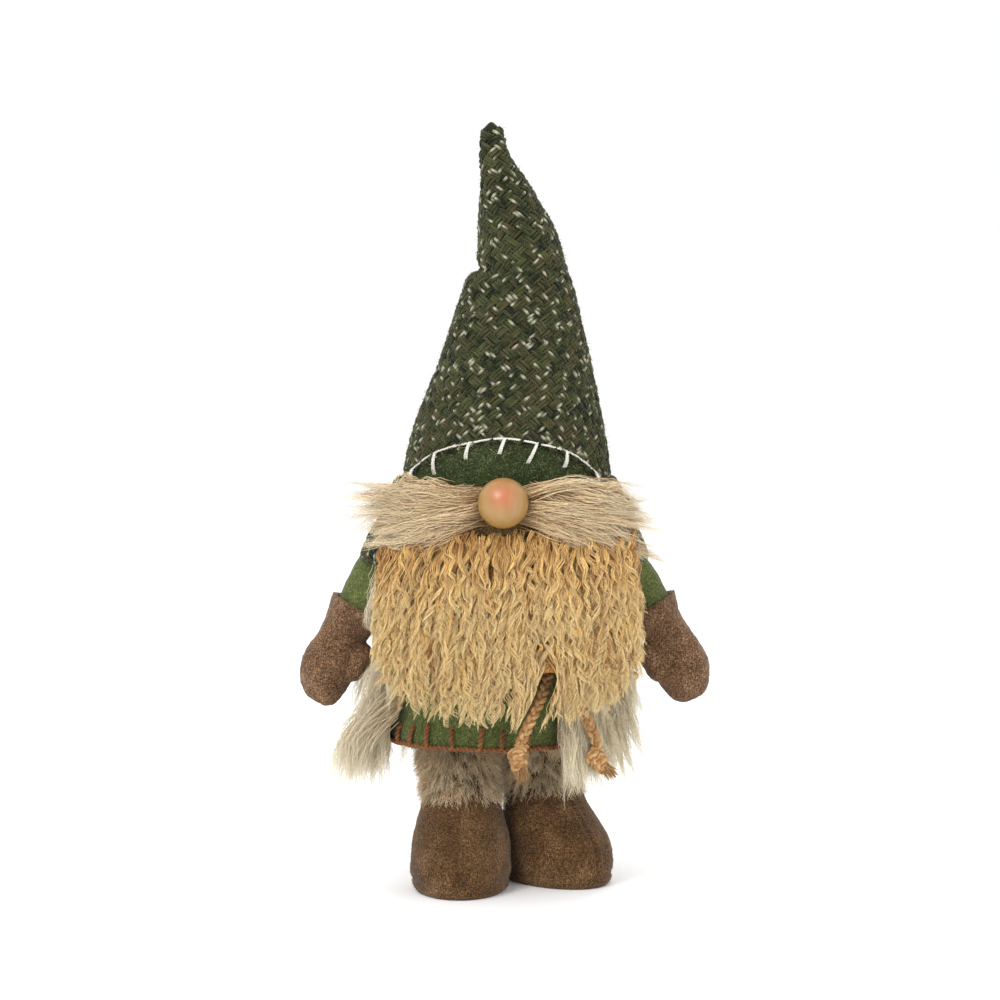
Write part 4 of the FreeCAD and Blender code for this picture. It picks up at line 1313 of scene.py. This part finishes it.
def boots(material, fuzz):
    """Felt boots: a full foot, a pressed sole line and a seam up the front, turned out by degrees."""
    heights, shift, wide, long = np.array(BOOT, dtype=float).T
    columns = 150
    z = np.concatenate([np.linspace(0, 10, 14), np.linspace(11.5, 64.5, 44)])
    tints = (linear(104, 80, 56), linear(160, 134, 104))
    a, rows = np.meshgrid(np.linspace(0, 2 * math.pi, columns, endpoint=False), z)
    forward, rx, ry = (smooth_interp(rows, heights, values) for values in (shift, wide, long))
    from_seam = np.abs((a + math.pi) % (2 * math.pi) - math.pi) * 30
    groove = 0.9 * np.exp(-(((from_seam - 2.6) / 1.6) ** 2)) - 1.4 * np.exp(-((from_seam / 1.2) ** 2))
    groove *= np.clip((rows - 9) / 4, 0, 1) * np.clip((62 - rows) / 4, 0, 1)
    x = (rx + groove) * np.sin(a)
    y = -(ry + groove) * np.cos(a)
    smooth = np.stack([x, y - forward, rows], axis=-1)
    radial = unit(np.stack([x, y, 0 * x], axis=-1))
    for side, degrees, seed in (("right", -2, 2.0), ("left", 37, 8.0)):
        dent = 0.6 * lumps(smooth, 17, seed) + 0.25 * lumps(smooth, 3.4, 6.0)
        points = smooth + radial * (dent * np.clip(rows / 6, 0, 1))[..., None]
        turn = math.radians(degrees)
        px = points[..., 0] * math.cos(turn) - points[..., 1] * math.sin(turn) + LEGS[side][0][0]
        py = points[..., 0] * math.sin(turn) + points[..., 1] * math.cos(turn) + LEGS[side][0][1]
        world = np.stack([px, py, points[..., 2]], axis=-1)
        # The first and last rings are drawn in to close the boot.
        ends = [ring.mean(axis=0) + (ring - ring.mean(axis=0)) * 0.02 for ring in (world[0], world[-1])]
        sheet = np.concatenate([ends[0][None], world, ends[1][None]], axis=0)
        add_mesh(
            f"boot_felt_{side}", sheet, grid_quads(len(sheet), columns), material, "root",
            (f"boot_upper_{side}", f"boot_sole_{side}"),
        )
        outward = unit(world - world.mean(axis=1, keepdims=True))
        nap(
            f"boot_nap_{side}", world[2:].reshape(-1, 3), outward[2:].reshape(-1, 3), 3000, 1.3, tints, fuzz,
            "root",
        )


# ---------------------------------------------------------------- everything

studio()
jute = tinted("jute", 0.85, 0.1, 0.2, 1500, 0.5)
belt_ends(jute)
waist_belt(jute)

tweed = tinted("tweed", 0.95, 0.2, 0.1, 1600, 0.6)
tweed_under = felt("tweed_under", linear(20, 24, 14), linear(34, 38, 22), linear(50, 52, 32))
wool_yarn = tinted("wool_yarn", 0.9, 0.2, 0.15, 1800, 0.5)
fibre = tinted("fibre", 0.9, 0.1, 0.15, 2000, 0.0)
mitten_felt = felt(
    "mitten_felt", linear(78, 58, 42), linear(112, 86, 64), linear(146, 118, 92), 70, 0.2, 0.75
)
boot_felt = felt("boot_felt", linear(54, 37, 21), linear(92, 68, 43), linear(136, 108, 76), 55, 0.15, 0.75)
green_felt = felt("green_felt", linear(62, 72, 36), linear(90, 99, 56), linear(114, 121, 76), 45, 0.2, 0.5)
hat_felt = felt("hat_felt", linear(34, 46, 24), linear(56, 68, 38), linear(82, 92, 58), 80, 0.1, 0.7)
long_fur = tinted("long_fur", 0.55, 0.15, 0.3, 900, 0.0)
short_fur = tinted("short_fur", 0.6, 0.15, 0.25, 900, 0.0)
lock_wool = tinted("lock_wool", 0.5, 0.2, 0.35, 900, 0.0)
cream_hide = felt("cream_hide", linear(120, 96, 62), linear(150, 124, 84), linear(176, 152, 110))
dark_hide = felt("dark_hide", linear(70, 52, 36), linear(90, 70, 50), linear(110, 88, 64))
gold_hide = felt("gold_hide", linear(140, 96, 44), linear(176, 130, 70), linear(206, 162, 100))
bead = bead_material()

hat(tweed, tweed_under, wool_yarn, fibre, hat_felt)
collar(tweed, tweed_under)
tunic(green_felt, wool_yarn)
vest(long_fur, cream_hide)
nose(bead)
moustache(long_fur)
beard(lock_wool, gold_hide)
arms(mitten_felt, green_felt, fibre)
trousers(short_fur, dark_hide)
boots(boot_felt, fibre)

HIDDEN = {
    "stuffing": plain("fibre_filling", (0.8, 0.8, 0.78)),
    "filling": plain("boot_filling", (0.75, 0.75, 0.72)),
    "board": plain("card_board", (0.42, 0.30, 0.18)),
    "ballast": plain("sand_bag", (0.5, 0.42, 0.3)),
    "wire": plain("steel_wire", (0.4, 0.4, 0.42), 0.4),
    "bag": plain("cotton_bag", (0.65, 0.62, 0.55)),
    "panel": cream_hide,
    "peg": dark_hide,
}
for name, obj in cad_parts.items():
    if obj.hide_render:
        continue
    for word, material in HIDDEN.items():
        if word in name:
            obj.data.materials.clear()
            obj.data.materials.append(material)
            break
